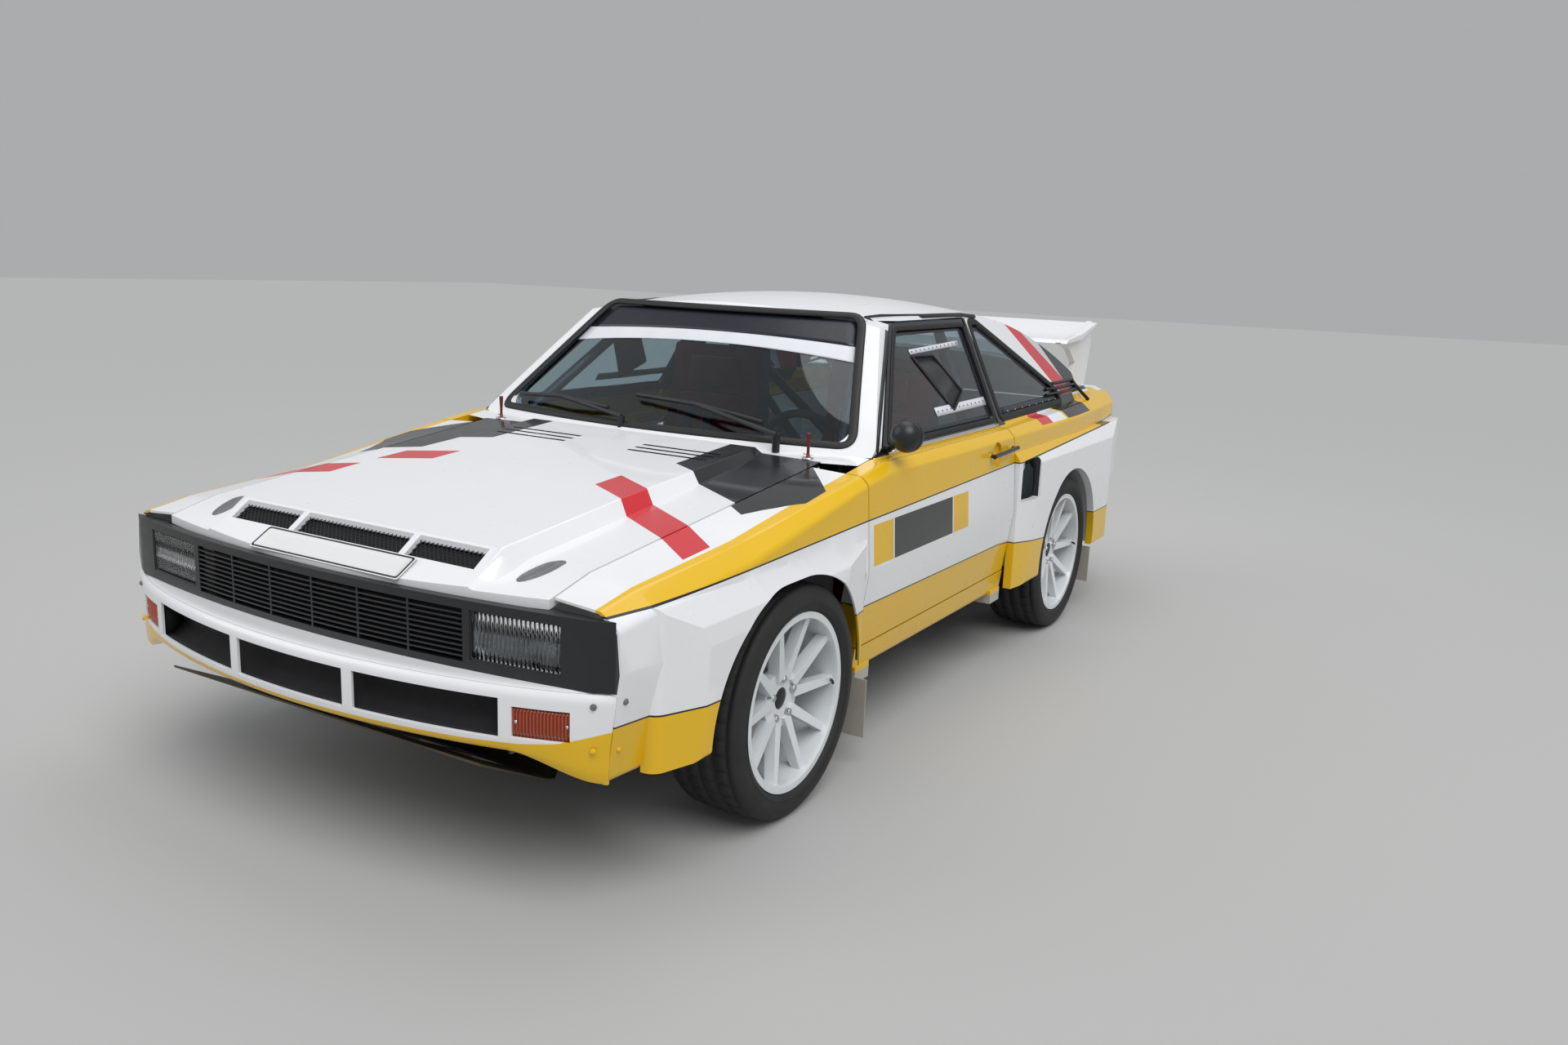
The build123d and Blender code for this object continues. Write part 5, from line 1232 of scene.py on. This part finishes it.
def pad(name, line, half, depth, seams):
    """Crowned cushion along a side-view line, sewn across into channels."""
    rings = []
    for i in range(PAD_ROWS + 1):
        base, normal = along_line(line, i / PAD_ROWS)
        u = 2 * i / PAD_ROWS - 1
        pulled = half * (1 - 0.05 * (1 - u ** 8))
        channel = 1 - 0.13 * max(0.0, cos(2 * pi * seams * i / PAD_ROWS)) ** 10 if seams else 1.0
        upper, lower = [], []
        for j in range(PAD_COLUMNS + 1):
            v = 2 * j / PAD_COLUMNS - 1
            swell = (1 - abs(u) ** 5) ** 0.5 * (1 - abs(v) ** 5) ** 0.5
            spot = Vector((pulled * v, 0, 0)) + base
            upper.append(spot + normal * (depth * (0.16 + 0.84 * swell * channel)))
            lower.append(spot + normal * (depth * 0.10 * (1 - swell)))
        rings.append(upper + lower[::-1])
    for seat, x in SEATS:
        shift = Vector((x, -HALF_LENGTH, 0))
        shape = Shape().rings([[p + shift for p in ring] for ring in rings], cap=True)
        piece = shape.done(f"{seat}_{name}", "seat", subdivide=1, slot="seat_fabric")


pad("base_pad", BASE_LINE, 0.158, 0.075, 3)
pad("back_pad", BACK_LINE, 0.158, 0.070, 5)
pad("head_pad", HEAD_LINE, 0.120, 0.060, 0)
for seat, x in SEATS:
    straps = Shape()
    for offset in (-STRAP_OFFSET, STRAP_OFFSET):
        for route, out in ((SHOULDER_STRAP, (0, -0.9, 0.4)), (LAP_STRAP, (0, -0.5, 0.85))):
            points = [at(x + offset * share, d, z) for share, d, z in route]
            straps.tube(points, 0.024, sides=8, flat=0.06, normal=[Vector(out)] * len(points))
    straps.done(f"{seat}_harness", "belt")
    buckle, place = Shape(), at(x, *BUCKLE_PLACE)
    buckle.lathe(BUCKLE_SECTION, place, Vector((0, -0.4, 0.9)), sides=28, closed=False)
    buckle.done(f"{seat}_buckle", "steel")

# Rear number plate without a number
REAR_PLATE_LOW, REAR_PLATE_HIGH = 0.645, 0.755
tail_d = look_forward(0.0, 0.70).y + HALF_LENGTH
plate = Shape().box(-PLATE_HALF, PLATE_HALF, tail_d - 0.001, tail_d + 0.006, REAR_PLATE_LOW, REAR_PLATE_HIGH)
plate.done("rear_plate", "plate", bevel=0.002)


# Headlamps: ribbed glass before a bright bowl
LAMP = (0.4835, 0.7105, 0.5745, 0.6845)
BOWL_MIDDLE, BOWL_HALF, BOWL_DEPTH = (0.597, 0.6295), (0.1135, 0.0555), 0.056
LAMP_RIBS, LAMP_RIB_DEPTH = 20, 0.0007
LENS_SETBACK, RIM_SETBACK, BOWL_SETBACK, BULB_SETBACK = 0.0052, 0.004, 0.0095, 0.052    # behind the grille
BULB_Z = 0.63
RIM_GAP = 0.001
BULB_SECTION = [(0.0, 0.016), (-0.006, 0.017), (-0.012, 0.012), (-0.016, 0.0005)]


def headlamp(hand, side):
    x0, x1, z0, z1 = LAMP

    def on_glass(up, along):
        x = x0 + (x1 - x0) * along
        rib = LAMP_RIB_DEPTH * cos(2 * pi * LAMP_RIBS * along)
        return at(side * x, grille_d(x, LENS_SETBACK + rib), z0 + (z1 - z0) * up)

    def on_bowl(up, along):
        u, v = along * 2 - 1, up * 2 - 1
        x, z = BOWL_MIDDLE[0] + u * BOWL_HALF[0], BOWL_MIDDLE[1] + v * BOWL_HALF[1]
        return at(side * x, grille_d(x, BOWL_SETBACK + BOWL_DEPTH * (1 - u ** 4) * (1 - v ** 4)), z)
    lens = Shape().sheet(grid(2, 160, on_glass))
    glass_piece = lens.done(f"headlamp_glass_{hand}", "lens", thick=0.003, slot="lamp_glass")
    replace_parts(glass_piece, "headlamps")
    Shape().sheet(grid(14, 24, on_bowl)).done(f"headlamp_bowl_{hand}", "bowl", thick=0.001)
    corners = rectangle(x0 - RIM_GAP, x1 + RIM_GAP, z0 - RIM_GAP, z1 + RIM_GAP)
    points = [at(side * x, grille_d(x, RIM_SETBACK), z) for x, z in outline_of(corners, 0.008, 0.03)]
    Shape().tube(points, 0.0028, sides=6, closed=True).done(f"headlamp_rim_{hand}", "trim")
    centre = at(side * BOWL_MIDDLE[0], grille_d(BOWL_MIDDLE[0], BULB_SETBACK), BULB_Z)
    bulb = Shape().lathe(BULB_SECTION, centre, REARWARD, sides=24, closed=False)
    bulb.done(f"headlamp_bulb_{hand}", "steel")


# Indicators with upright ribs and two screws each
SCREW_SECTION = [(0.0, 0.0046), (-0.002, 0.004), (-0.003, 0.0005)]
SCREW_XS, SCREW_Z = (0.6295, 0.7385), 0.468
RIB_DEPTH = 0.0012
BED_MARGIN, BED_SETBACK = 0.003, 0.014    # the red bed reaches past the lens and lies behind the face


def indicator(hand, side):
    x0, x1, z0, z1 = INDICATOR

    def on_lens(up, along):
        x = x0 + (x1 - x0) * along
        at_edge = up in (0.0, 1.0) or along in (0.0, 1.0)
        rib = RIB_DEPTH * sin(2 * pi * side * x / RIB_PITCH)
        return at(side * x, bumper_d(x, 0.005 if at_edge else 0.0022 - rib), z0 + (z1 - z0) * up)
    shape = Shape().sheet(grid(4, 120, on_lens))
    lens = shape.done(f"indicator_{hand}", "amber", thick=0.002, slot="amber_lens")
    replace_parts(lens, "front_indicators")
    xs = (x0 - BED_MARGIN, 0.665, 0.71, x1 + BED_MARGIN)
    heights = (z0 - BED_MARGIN, z1 + BED_MARGIN)
    rows = [[at(side * x, bumper_d(x, BED_SETBACK), z) for x in xs] for z in heights]
    Shape().sheet(rows).done(f"indicator_back_{hand}", "hook", thick=0.001)
    screws = Shape()
    for x in SCREW_XS:
        head = at(side * x, bumper_d(x, 0.0012), SCREW_Z)
        screws.lathe(SCREW_SECTION, head, REARWARD, sides=14, closed=False)
    screws.done(f"indicator_screws_{hand}", "steel")


for lamp_of in (headlamp, indicator):
    for hand, side in HANDS:
        lamp_of(hand, side)


# Studio floor, lights and world
FLOOR_HALF = 40
WORLD_COLOUR, WORLD_LEVEL = (0.84, 0.86, 0.90), 0.50
BACKDROP = (0.40, 0.41, 0.42)


def lay_floor():
    rows = [[Vector((x, y, 0)) for x in (-FLOOR_HALF, FLOOR_HALF)] for y in (-FLOOR_HALF, FLOOR_HALF)]
    floor_piece = add_object("floor", Shape().sheet(rows).mesh("floor"))
    look = Paint("floor_paint")
    look.set(color=(0.46, 0.46, 0.45), rough=0.9, spec=0.1)
    floor_piece.data.materials.append(look.material)


def lamp(name, kind, place, target, power):
    data = bpy.data.lights.new(name, kind)
    data.energy = power
    piece = add_object(name, data)
    piece.location = place
    piece.rotation_euler = (Vector(target) - Vector(place)).to_track_quat("-Z", "Y").to_euler()
    return data


def light_world():
    """Pale light for rough surfaces; a plain backdrop for the camera, mirrors and glass."""
    world = bpy.data.worlds.new("studio")
    scene.world = world
    world.use_nodes = True
    tree = world.node_tree
    light, seen = tree.nodes["Background"], tree.nodes.new("ShaderNodeBackground")
    for node, colour, level in ((light, WORLD_COLOUR, WORLD_LEVEL), (seen, BACKDROP, 1.0)):
        node.inputs["Color"].default_value = (*colour, 1.0)
        node.inputs["Strength"].default_value = level
    ray = tree.nodes.new("ShaderNodeLightPath").outputs
    seen_by = ray["Is Camera Ray"]
    for kind in ("Is Glossy Ray", "Is Transmission Ray"):
        either = tree.nodes.new("ShaderNodeMath")
        either.operation = "MAXIMUM"
        tree.links.new(seen_by, either.inputs[0])
        tree.links.new(ray[kind], either.inputs[1])
        seen_by = either.outputs[0]
    choice = tree.nodes.new("ShaderNodeMixShader")
    for socket, source in zip(choice.inputs, (seen_by, light.outputs[0], seen.outputs[0])):
        tree.links.new(source, socket)
    tree.links.new(choice.outputs[0], tree.nodes["World Output"].inputs["Surface"])


lay_floor()
lamp("key", "SUN", (3.5, -2.5, 6.5), (0, 0, 0.5), 1.9).angle = radians(45)
lamp("fill", "SUN", (-5.0, -3.0, 4.0), (0, 0, 0.5), 0.5).angle = radians(40)
top_light = lamp("top", "AREA", (0.0, 1.0, 5.5), (0, 0, 0.8), 60)
top_light.shape = "DISK"
top_light.size = 4.0
light_world()
scene.view_settings.view_transform = "Standard"
